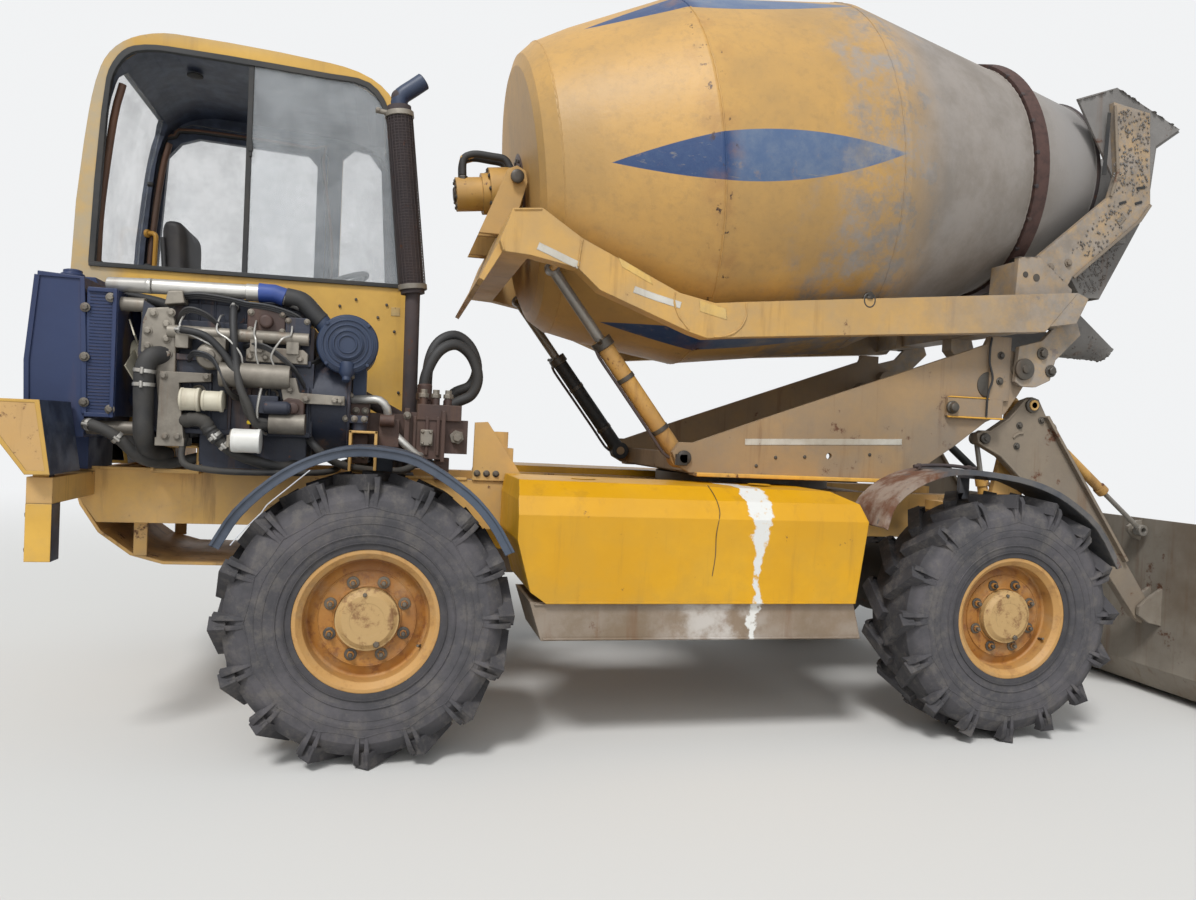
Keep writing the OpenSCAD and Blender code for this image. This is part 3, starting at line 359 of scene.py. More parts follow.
skirtGrey = finish("skirtGrey", 0, 0.6, 0.12, 40, extra=skirtPaint)
castIron = coated("castIron", 0.7, 0.3, 60, "#3b3834", "#2c2926", 0.5, "#5d554a", rust=0.5, streaks=0,
                  chips=0.3, low=0.2, high=1.0)
engineGrey = coated("engineGrey", 0.5, 0.35, 70, "#23293a", "#171c28", 0.4, "#47464b", rust=0.5,
                    rustSize=18, streaks=0.4, chips=0.5, low=0.9, high=1.7)
fittingSteel = coated("fittingSteel", 0.45, 0.2, 80, "#979084", "#615b53", 0.6, "#4b453e", rust=0.5,
                      rustSize=22, streaks=0.4, chips=0.4, low=0.9, high=1.7, metal=0.35)
silverPipe = coated("silverPipe", 0.35, 0.05, 60, "#c3c1bc", "#a5a29c", 0.3, rust=0.1, streaks=0.2,
                    chips=0.1, metal=0.6)
radiatorNavy = coated("radiatorNavy", 0.5, 0.1, 50, "#0f1f45", "#1a2c52", 0.3, "#3b4254", rust=0.2,
                      streaks=0.1, chips=0.5, low=0.9, high=1.7)
creamFan = coated("creamFan", 0.5, 0.05, 50, "#d8d2be", "#bdb5a0", 0.5, rust=0, streaks=0.2, chips=0)
# black filter parts given navy tones: a painted sky reflection
filterBlackSkySheen = coated("filterBlackSkySheen", 0.45, 0.08, 60, "#1a2944", "#28374f", 0.3, "#4a505c", rust=0, streaks=0,
                     chips=0, low=1.0, high=1.8)
stackBrown = coated("stackBrown", 0.75, 0.3, 70, "#41393a", "#322c2e", 0.4, "#6a5850", rust=0.7,
                    rustSize=20, streaks=0.3, chips=0.2, low=1.0, high=2.6)
pumpBrown = coated("pumpBrown", 0.55, 0.3, 70, "#4b332b", "#332623", 0.4, "#625649", rust=0.5, rustSize=20,
                   streaks=0.3, chips=0.6, low=0.9, high=1.4)
hoseRubber = coated("hoseRubber", 0.6, 0.1, 90, "#1b1b1c", "#2a2a2b", 0.35, "#6c665c", rust=0, streaks=0,
                    chips=0, low=0.9, high=1.6)
sealRubber = coated("sealRubber", 0.6, 0.05, 90, "#161718", "#26282a", 0.4, rust=0, streaks=0, chips=0)
seatVinyl = coated("seatVinyl", 0.55, 0.1, 120, "#222226", "#303034", 0.5, rust=0, streaks=0, chips=0)
wheelPlastic = coated("wheelPlastic", 0.5, 0.05, 90, "#26272a", "#34363a", 0.4, rust=0, streaks=0, chips=0)
greasySteel = coated("greasySteel", 0.4, 0.2, 60, "#4c4842", "#302c28", 0.5, rust=0.5, streaks=0.2,
                     chips=0.2, metal=0.3)
rodSteel = coated("rodSteel", 0.4, 0.08, 60, "#8d8a84", "#75706a", 0.5, rust=0.6, rustSize=20, streaks=0.3,
                  chips=0.1, low=0.9, high=2.0, metal=0.5)
barrelCoat = worn("#c4964a", "#a17a41", 0.5, "#84684c", rust=0.85, rustSize=12, streaks=0.6, chips=0.3,
                  low=1.0, high=1.9)
barrelYellow = finish("barrelYellow", 0, 0.5, 0.1, 50, extra=blackened(barrelCoat))
cementGrey = coated("cementGrey", 0.85, 0.9, 22, "#7d7a77", "#676461", 0.4, "#918d88", rust=0.45,
                    rustSize=4, streaks=0.3, chips=0.9, low=2.0, high=3.2)
armTan = coated("armTan", 0.65, 0.25, 40, "#867968", "#75695c", 0.5, "#7c756c", rust=0.6, rustSize=6,
                streaks=0.4, chips=1.0, low=0.3, high=1.6)
shovelSteel = coated("shovelSteel", 0.6, 0.3, 30, "#8d867b", "#76695a", 0.7, "#9a9286", rust=0.8,
                     rustSize=5, streaks=0.4, chips=0.6, low=0.0, high=0.9, metal=0.3)


tankCoat = worn("#d69e00", "#c69000", 0.35, "#a88a3e", rust=0.25, rustSize=14, streaks=0.2, chips=0.7,
                low=0.5, high=1.0)


def splashed(tree, colour, rough):
    # the tank's paint, with the spilt white paint down its near face
    colour, rough = tankCoat(tree, colour, rough)
    return blendColour(tree, splashMask(tree, splash["onTank"]), colour, "#d3d3cf"), rough


tankYellow = finish("tankYellow", 0, 0.38, 0.06, 30, extra=splashed)
drumForm = {"foot": at(-671, 0, 2300), "tilt": math.radians(7.05), "seam": 0.690, "stripeMiddle": 0.880,
            "stripeHalf": 0.63, "stripeWidth": 7.0, "stripeStart": -5, "cementStart": 1.24,
            "mouthRadius": 0.396}
drumAxis = Vector((math.cos(drumForm["tilt"]), 0, math.sin(drumForm["tilt"])))
drumAbove = Vector((-math.sin(drumForm["tilt"]), 0, math.cos(drumForm["tilt"])))


def drumWear(tree, colour, rough):
    fromFoot = addNode(tree, "VectorMath", {0: place(tree), 1: drumForm["foot"]},
                       operation="SUBTRACT").outputs[0]

    def dot(axis):
        return addNode(tree, "VectorMath", {0: fromFoot, 1: axis}, operation="DOT_PRODUCT").outputs["Value"]
    s, up, out = dot(drumAxis), dot(drumAbove), dot(Vector((0, -1, 0)))
    angle = calc(tree, "ARCTAN2", up, out)
    radius = calc(tree, "SQRT", calc(tree, "MULTIPLY_ADD", up, up, times(tree, out, out)))
    cloud = grain(tree, 1.6, 6, 0.6)
    fine = grain(tree, 24, 8, 0.72)
    base = blendColour(tree, between(tree, cloud, 0.35, 0.66), "#bf9450", "#a8854f")
    base = blendColour(tree, times(tree, between(tree, fine, 0.45, 0.75), 0.5), base, "#96784c")
    # pointed navy ovals, sixty degrees apart; three whole turns keep the angle above nought
    step = math.radians(60)
    turned = plus(tree, angle, math.radians(360 * 3 - drumForm["stripeStart"]) + step / 2)
    local = apart(tree, calc(tree, "MODULO", turned, step), step / 2)
    far = calc(tree, "DIVIDE", minus(tree, s, drumForm["stripeMiddle"]), drumForm["stripeHalf"])
    half = times(tree, minus(tree, 1.0, times(tree, far, far)), math.radians(drumForm["stripeWidth"]))
    oval = between(tree, minus(tree, half, local), -0.002, 0.002)
    scuffed = calc(tree, "MULTIPLY_ADD", patches(tree, 0.28, 0.42, 14, 8, 0.7), 0.25, 0.75)
    fresh = blendColour(tree, patches(tree, 0.4, 0.75, 30, 8, 0.7), "#1f3b66", "#2d466c")
    faded = blendColour(tree, patches(tree, 0.35, 0.7, 11, 8, 0.7), "#485e80", "#606f86")
    navy = blendColour(tree, between(tree, s, 0.70, 0.76), fresh, faded)
    scratch = between(tree, grain(tree, 1, 8, 0.7, stretched(tree, (3, 60, 60))), 0.60, 0.68)
    navy = blendColour(tree, times(tree, scratch, 0.5), navy, "#8c8474")
    base = blendColour(tree, times(tree, oval, scuffed), base, navy)
    # cement from past the middle to the mouth
    edge = calc(tree, "MULTIPLY_ADD", calc(tree, "SINE", angle), 0.28, drumForm["cementStart"])
    wobble = calc(tree, "MULTIPLY_ADD", grain(tree, 2.3, 9, 0.68), 1.5, -0.75)
    cement = between(tree, minus(tree, plus(tree, s, wobble), edge), -0.10, 0.22)
    speckle = patches(tree, 0.36, 0.62, 9, 10, 0.75)
    thick = between(tree, s, 1.35, 1.8)
    cement = times(tree, cement, calc(tree, "MAXIMUM", speckle, thick))
    greys = blendColour(tree, patches(tree, 0.35, 0.65, 3.5, 9, 0.7), "#918c88", "#7d7873")
    greys = blendColour(tree, between(tree, s, 2.4, 2.75), greys, "#8b8a8a")
    base = blendColour(tree, times(tree, cement, 0.93), base, greys)
    # pitting round the weld at the seam
    fromSeam = apart(tree, s, drumForm["seam"])
    pitted = patches(tree, 0.60, 0.66, 20, 6, 0.6)
    pits = times(tree, pitted, between(tree, fromSeam, 0.075, 0.03))
    stain = times(tree, between(tree, fromSeam, 0.13, 0.02), patches(tree, 0.45, 0.75, 8, 8))
    base = blendColour(tree, times(tree, stain, 0.45), base, "#8a5f3a")
    base = blendColour(tree, pits, base, "#38231a")
    few = patches(tree, 0.72, 0.76, 13, 8, 0.7)
    base = blendColour(tree, few, base, "#5a3a26")
    # dark rusty track ring and the closed end's flange
    ring = times(tree, between(tree, s, 2.352, 2.358), between(tree, s, 2.438, 2.432))
    hub = times(tree, between(tree, s, 0.004, -0.004), between(tree, radius, 0.185, 0.175))
    rusty = blendColour(tree, between(tree, fine, 0.4, 0.7), "#4d3630", "#382723")
    base = blendColour(tree, calc(tree, "MAXIMUM", ring, hub), base, rusty)
    return base, calc(tree, "MULTIPLY_ADD", cement, 0.3, rough)


drumPaint = finish("drumPaint", 0, 0.48, 0.35, 30, extra=drumWear)
axleMiddle = {"rear": at(-1298, 0, 480), "front": at(1298, 0, 480)}


def fromAxle(tree, middle):
    dx = minus(tree, coordinate(tree, 0), middle.x)
    dz = minus(tree, coordinate(tree, 2), middle.z)
    return calc(tree, "SQRT", calc(tree, "MULTIPLY_ADD", dx, dx, times(tree, dz, dz)))


def rimWear(middle):
    def build(tree, colour, rough):
        radius = fromAxle(tree, middle)
        colour = blendColour(tree, patches(tree, 0.35, 0.68, 6, 7), "#a5702c", "#8a5a2a")
        rust = patches(tree, 0.50, 0.64, 16, 10, 0.75)
        colour = blendColour(tree, times(tree, rust, 0.8), colour, "#6f4020")
        dust = patches(tree, 0.45, 0.7, 9, 8, 0.7)
        cap = between(tree, radius, 0.114, 0.110)
        well = blendColour(tree, times(tree, rust, 0.5), "#b58a50", "#8d6238")
        colour = blendColour(tree, between(tree, radius, 0.205, 0.222), colour, well)
        colour = blendColour(tree, times(tree, dust, 0.35), colour, "#a08a6c")
        beige = blendColour(tree, rust, "#b0905f", "#7f5c38")
        return blendColour(tree, cap, colour, beige), rough
    return build


def tyreWear(middle):
    def build(tree, colour, rough):
        radius = fromAxle(tree, middle)
        colour = blendColour(tree, patches(tree, 0.35, 0.66, 5, 8, 0.7), "#403f42", "#545154")
        tread = between(tree, radius, 0.44, 0.47)
        colour = blendColour(tree, times(tree, tread, 0.6), colour, "#2f2e30")
        mud = times(tree, patches(tree, 0.46, 0.66, 12, 9, 0.75), 0.6)
        colour = blendColour(tree, mud, colour, "#66615c")
        bead = times(tree, between(tree, radius, 0.300, 0.270), 0.5)
        return blendColour(tree, bead, colour, "#29282a"), rough
    return build


rimPaint = {end: finish(end + "RimPaint", 0, 0.6, 0.2, 60, extra=rimWear(mid)) for end,
            mid in axleMiddle.items()}
tyreRubber = {end: finish(end + "TyreRubber", 0, 0.85, 0.4, 70, extra=tyreWear(mid)) for end,
              mid in axleMiddle.items()}


paneForm = {"clean": 0.16, "dust": 0.16, "tone": (0.55, 0.58, 0.6, 1), "roughness": 0.12}


def dustyGlass(name, part):
    mat = bpy.data.materials.new(name)
    mat.use_nodes = True
    tree = mat.node_tree
    shader = tree.nodes["Principled BSDF"]
    dust = patches(tree, 0.3, 0.75, 4, 8, 0.7)
    tree.links.new(calc(tree, "MULTIPLY_ADD", dust, part["dust"], part["clean"]), shader.inputs["Alpha"])
    shader.inputs["Base Color"].default_value = part["tone"]
    shader.inputs["Roughness"].default_value = part["roughness"]
    return mat


paneGlass = dustyGlass("paneGlass", paneForm)
print("stage: finishes on the machine's own pieces")
finishOf = {
    "chassis_frame": chassisYellow, "belly_guard": chassisYellow, "rear_bumper": cabYellow,
            "engine_block": engineGrey,
    "engine_fittings": fittingSteel, "radiator_pack": radiatorNavy, "cooling_fan": creamFan,
            "intake_pipe": silverPipe,
    "air_filter": filterBlackSkySheen, "exhaust_stack": stackBrown, "hydraulic_pumps": pumpBrown,
            "hydraulic_hoses": hoseRubber,
    "rear_fenders": fenderBlackSkySheen, "front_fenders": mudFender, "tank_near": tankYellow,
            "tank_far": tankYellow,
    "tank_skirts": skirtGrey, "cab_shell": cabYellow, "cab_window_frame": sealRubber,
            "cab_panes": paneGlass,
    "cab_door": cabYellow, "door_pane": paneGlass, "cab_seat": seatVinyl, "steering_column": wheelPlastic,
    "slew_base": greasySteel, "sub_frame": carrierTan, "tilt_frame": beamYellow, "drum_drive": motorYellow,
    "drum_rollers": greasySteel, "drum": drumPaint, "feed_hopper": cementGrey,
            "discharge_funnel": cementGrey,
    "chute": cementGrey, "tilt_barrels": barrelYellow, "tilt_rods": rodSteel, "loader_arms": armTan,
    "lift_barrels": barrelYellow, "lift_rods": rodSteel, "shovel": shovelSteel,
            "shovel_barrels": barrelYellow,
    "shovel_rods": rodSteel, "rear_axle": castIron, "front_axle": castIron, "knuckle_near": castIron,
            "knuckle_far": castIron,
}
for end in ("rear", "front"):
    for side in ("near", "far"):
        finishOf[f"rim_{end}_{side}"] = rimPaint[end]
        finishOf[f"tyre_{end}_{side}"] = tyreRubber[end]
for name, obj in nodes.items():
    obj.data.materials.clear()
    obj.data.materials.append(finishOf.get(name, chassisYellow))

print("stage: mesh tools")
near, up, right = Vector((0, -1, 0)), Vector((0, 0, 1)), Vector((1, 0, 0))


def newForm():
    return [], []


def addFaces(form, points, faces):
    start = len(form[0])
    form[0].extend(tuple(p) for p in points)
    form[1].extend(tuple(start + i for i in face) for face in faces)


def smoothPath(points, step=0.014):
    pts = [Vector(p) for p in points]
    full = [pts[0] * 2 - pts[1]] + pts + [pts[-1] * 2 - pts[-2]]
    out = []
    for a, b, c, d in zip(full, full[1:], full[2:], full[3:]):
        count = max(2, int((c - b).length / step))
        for k in range(count):
            t = k / count
            out.append(0.5 * (2 * b + (c - a) * t + (2 * a - 5 * b + 4 * c - d) * t * t
                              + (3 * b - a - 3 * c + d) * t ** 3))
    return out + [pts[-1]]


def addTube(form, points, radius, sides=12):
    # radius is a number, or a function of the share of the way along
    pts = [Vector(p) for p in points]
    side = (pts[1] - pts[0]).orthogonal().normalized()
    verts, faces = [], []
    for i, p in enumerate(pts):
        ahead = (pts[min(i + 1, len(pts) - 1)] - pts[max(i - 1, 0)]).normalized()
        side = (side - ahead * side.dot(ahead)).normalized()
        up = ahead.cross(side)
        r = radius(i / (len(pts) - 1)) if callable(radius) else radius
        for k in range(sides):
            a = 2 * math.pi * k / sides
            verts.append(p + (side * math.cos(a) + up * math.sin(a)) * r)
    for i in range(len(pts) - 1):
        for k in range(sides):
            a, b = i * sides + k, i * sides + (k + 1) % sides
            faces.append((a, b, b + sides, a + sides))
    last = (len(pts) - 1) * sides
    faces += [tuple(range(sides - 1, -1, -1)), tuple(range(last, last + sides))]
    addFaces(form, verts, faces)


def spots(points):
    return [at(*p) for p in points]


def addHose(form, points, radius, sides=12, step=0.014):
    # tube along a smooth line through points of the drawing
    addTube(form, smoothPath(spots(points), step), radius, sides)


def addTurned(form, foot, axis, profile, sides=28, loop=False):
    # profile: distance along the axis, radius
    foot, axis = Vector(foot), Vector(axis).normalized()
    side = axis.orthogonal().normalized()
    up = axis.cross(side)
    verts, faces = [], []
    for along, r in profile:
        for k in range(sides):
            a = 2 * math.pi * k / sides
            verts.append(foot + axis * along + (side * math.cos(a) + up * math.sin(a)) * r)
    rows = len(profile)
    for i in range(rows if loop else rows - 1):
        for k in range(sides):
            a, b = i * sides + k, i * sides + (k + 1) % sides
            c, d = ((i + 1) % rows) * sides + (k + 1) % sides, ((i + 1) % rows) * sides + k
            faces.append((a, b, c, d))
    if not loop:
        faces += [tuple(range(sides - 1, -1, -1)), tuple(range((rows - 1) * sides, rows * sides))]
    addFaces(form, verts, faces)


def addPrism(form, near, far):
    n = len(near)
    faces = [tuple(range(n)), tuple(range(2 * n - 1, n - 1, -1))]
    faces += [(i, n + i, n + (i + 1) % n, (i + 1) % n) for i in range(n)]
    addFaces(form, list(near) + list(far), faces)


def addSlab(form, outline, y0, y1):
    # outline in the drawing's X and Z, between two places along Y
    addPrism(form, [at(x, y0, z) for x, z in outline], [at(x, y1, z) for x, z in outline])


def addBlock(form, x0, x1, y0, y1, z0, z1):
    addSlab(form, [(x0, z0), (x1, z0), (x1, z1), (x0, z1)], y0, y1)


def addBand(form, foot, axis, start, end, inner, outer, sides=30):
    # flat ring round an axis
    addTurned(form, foot, axis, [(start, inner), (start, outer), (end, outer), (end, inner)], sides, True)


def addRidge(form, foot, axis, radius, low, high, base, top, sides=48):
    # ring that narrows from its base to its top
    profile = [(low, radius - base), (high, radius - top), (high, radius + top), (low, radius + base)]
    addTurned(form, foot, axis, profile, sides, True)


def addBolt(form, spot, axis, size, washer=True):
    # hexagon head on a washer; size is the head's radius
    axis = Vector(axis).normalized()
    if washer:
        addTurned(form, spot, axis, [
            (0, size * 1.45), (size * 0.25, size * 1.45), (size * 0.3, size * 1.3)], 20)
    addTurned(form, spot, axis, [(size * 0.2, size), (size * 0.95, size), (size * 1.1, size * 0.78)], 6)


def addBolts(form, places, y, size, washer=True):
    # bolts on a face that looks at the near side, at places in X and Z
    for x, z in places:
        addBolt(form, at(x, y, z), near, size, washer)


def addStrip(form, line, half, y0, y1):
    # band of even width along a line in X and Z
    pts = [Vector((x, z)) for x, z in line]
    above, below = [], []
    for i, p in enumerate(pts):
        ahead = (pts[min(i + 1, len(pts) - 1)] - pts[max(i - 1, 0)]).normalized()
        across = Vector((-ahead.y, ahead.x)) * half
        above.append(tuple(p + across))
        below.append(tuple(p - across))
    addSlab(form, above + below[::-1], y0, y1)


def makePiece(name, form, body, material, soften=0.0, angle=35):
    mesh = bpy.data.meshes.new(name)
    mesh.from_pydata(form[0], [], form[1])
    work = bmesh.new()
    work.from_mesh(mesh)
    bmesh.ops.recalc_face_normals(work, faces=work.faces)
    work.to_mesh(mesh)
    work.free()
    mesh.shade_smooth()
    mesh.set_sharp_from_angle(angle=math.radians(angle))
    mesh.materials.append(material)
    obj = bpy.data.objects.new(name, mesh)
    bpy.context.scene.collection.objects.link(obj)
    if soften:
        bevel = obj.modifiers.new("softEdge", "BEVEL")
        bevel.width = soften
        bevel.segments = 2
        bevel.limit_method = "ANGLE"
    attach(obj, body)
    return obj


print("stage: engine bay")
engine = {"lineRadius": 0.004, "wireRadius": 0.0045}
# hoses: radius, ribs, clamps as a share of the way and a radius, points of the drawing
engineRoutes = (
    (0.035, 0, ((0.22, 0.035), (0.3, 0.035)), [
        (-2070, -640, 1392), (-2108, -676, 1380), (-2126, -684, 1340), (-2130, -684, 1277),
        (-2128, -682, 1188), (-2126, -676, 1088), (-2120, -600, 1030), (-2080, -520, 1010)]),
    (0.021, 0, ((0.06, 0.021), (0.26, 0.022)), [
        (-2330, -645, 1122), (-2296, -662, 1118), (-2245, -668, 1097), (-2202, -660, 1064),
        (-2140, -620, 1000), (-2060, -540, 985), (-1945, -500, 1015)]),
    (0.026, 11, ((0.97, 0.024),), [
        (-1990, -660, 1150), (-1970, -700, 1155), (-1941, -706, 1158), (-1914, -706, 1148),
        (-1895, -704, 1119), (-1866, -700, 1085)]),
    (0.021, 0, ((0.1, 0.021),), [
        (-1866, -700, 1085), (-1808, -690, 1038), (-1722, -680, 1006), (-1645, -650, 988),
        (-1590, -585, 1000)]),
    (0.013, 0, ((0.06, 0.013),), [
        (-2031, -665, 1484), (-1995, -705, 1483), (-1921, -720, 1467), (-1864, -720, 1417),
        (-1825, -720, 1360), (-1793, -720, 1293), (-1776, -716, 1224), (-1752, -700, 1170),
        (-1690, -690, 1158)]),
    (0.014, 0, ((0.1, 0.014),), [
        (-1838, -575, 1588), (-1838, -640, 1580), (-1825, -700, 1481), (-1812, -712, 1382),
        (-1790, -740, 1283), (-1760, -742, 1220), (-1735, -720, 1150), (-1700, -695, 1140)]),
    (0.024, 0, (), [
        (-2254, -500, 1609), (-2198, -500, 1607), (-2121, -500, 1594), (-2060, -500, 1570)]),
    (0.012, 0, (), [
        (-1970, -520, 1240), (-1990, -700, 1020), (-1900, -720, 975), (-1700, -700, 968),
        (-1480, -640, 975), (-1420, -560, 1010)]),
    (0.015, 0, (), [
        (-1560, -560, 1120), (-1530, -660, 1080), (-1440, -640, 1010), (-1300, -600, 985),
        (-1180, -560, 990), (-1100, -500, 1050)]),
    (0.0365, 0, (), [
        (-1656, -600, 1645), (-1601, -600, 1634), (-1568, -600, 1606), (-1543, -600, 1578),
        (-1522, -600, 1560)]),
)


def engineHoses():
    hoses, clamps = newForm(), newForm()

    def run(points, r, ribs=0):
        path = smoothPath(spots(points), 0.008 if ribs else 0.014)
        shape = (lambda t: r * (1 + 0.07 * math.sin(t * ribs * 2 * math.pi))) if ribs else r
        addTube(hoses, path, shape, 16)
        return path

    def clamp(path, share, r):
        i = int(share * (len(path) - 2))
        axis = path[i + 1] - path[i]
        addBand(clamps, path[i], axis, -0.007, 0.007, r * 1.02, r * 1.1, 24)
        side = (near - axis.normalized() * near.dot(axis.normalized())).normalized()
        addTurned(clamps, path[i] + side * r * 1.1, axis, [(-0.012, 0.006), (0.012, 0.006)], 10)
    for radius, ribs, clampsAt, points in engineRoutes:
        path = run(points, radius, ribs)
        for share, clampRadius in clampsAt:
            clamp(path, share, clampRadius)
    makePiece("engineHoses", hoses, "chassis", hoseRubber)
    makePiece("hoseClamps", clamps, "chassis", silverPipe)


engineHoses()


def engineLines():
    # injector lines, wiring and the dipstick tube
    lines, wires = newForm(), newForm()
    for k, (pump, head) in enumerate(((-1845, -2010), (-1790, -1885), (-1735, -1755), (-1680, -1625))):
        path = [(pump, -700, 1372), (pump - 8, -712, 1410), ((pump + head) / 2, -716, 1448 + 8 * k),
                (head, -690, 1490), (head, -640, 1545), (head, -580, 1560)]
        addHose(lines, path, engine["lineRadius"], 8, 0.01)
    addHose(lines, [(-1705, -640, 1339), (-1720, -690, 1300), (-1733, -700, 1186), (-1717, -690, 1127),
                    (-1700, -640, 1110)], 0.006, 8)
    addHose(lines, [(-1405, -560, 1262), (-1340, -585, 1266), (-1290, -595, 1264), (-1262, -592, 1235),
                    (-1252, -560, 1180)], 0.017, 14)
    addHose(lines, [(-1232, -555, 1137), (-1182, -562, 1090), (-1135, -545, 1050), (-1120, -515, 1048)],
            0.016, 14)
    bundles = (
        [(-1797, -640, 1440), (-1721, -690, 1442), (-1653, -700, 1404), (-1603, -690, 1356),
         (-1570, -650, 1300)],
        [(-2040, -600, 1612), (-1960, -622, 1622), (-1850, -628, 1612), (-1790, -640, 1600),
         (-1700, -650, 1592), (-1600, -640, 1560), (-1560, -600, 1500)],
        [(-2045, -612, 1500), (-2000, -660, 1560), (-1930, -668, 1548), (-1880, -650, 1500),
         (-1900, -640, 1440)],
        [(-1990, -640, 1380), (-1950, -715, 1400), (-1890, -722, 1380), (-1850, -716, 1300),
         (-1830, -690, 1260), (-1800, -640, 1240)],
        [(-1560, -640, 1380), (-1500, -560, 1420), (-1450, -470, 1400), (-1420, -460, 1330)],
    )
    for k, bundle in enumerate(bundles):
        for j in range(3):
            shift = Vector((0.0, -0.006 * j, 0.007 * (j - 1)))
            addTube(wires, [p + shift for p in smoothPath(spots(bundle))], engine["wireRadius"], 8)
    makePiece("engineLines", lines, "chassis", silverPipe)
    makePiece("engineWires", wires, "chassis", wheelPlastic)


engineLines()


castings = {"coverRibs": (-2030, -1590, 55), "blockRibs": (-1985, -1560, 70), "bellMiddle": (-445, 1230),
            "bellCircle": 190, "bellBolts": 14, "soften": 0.003}


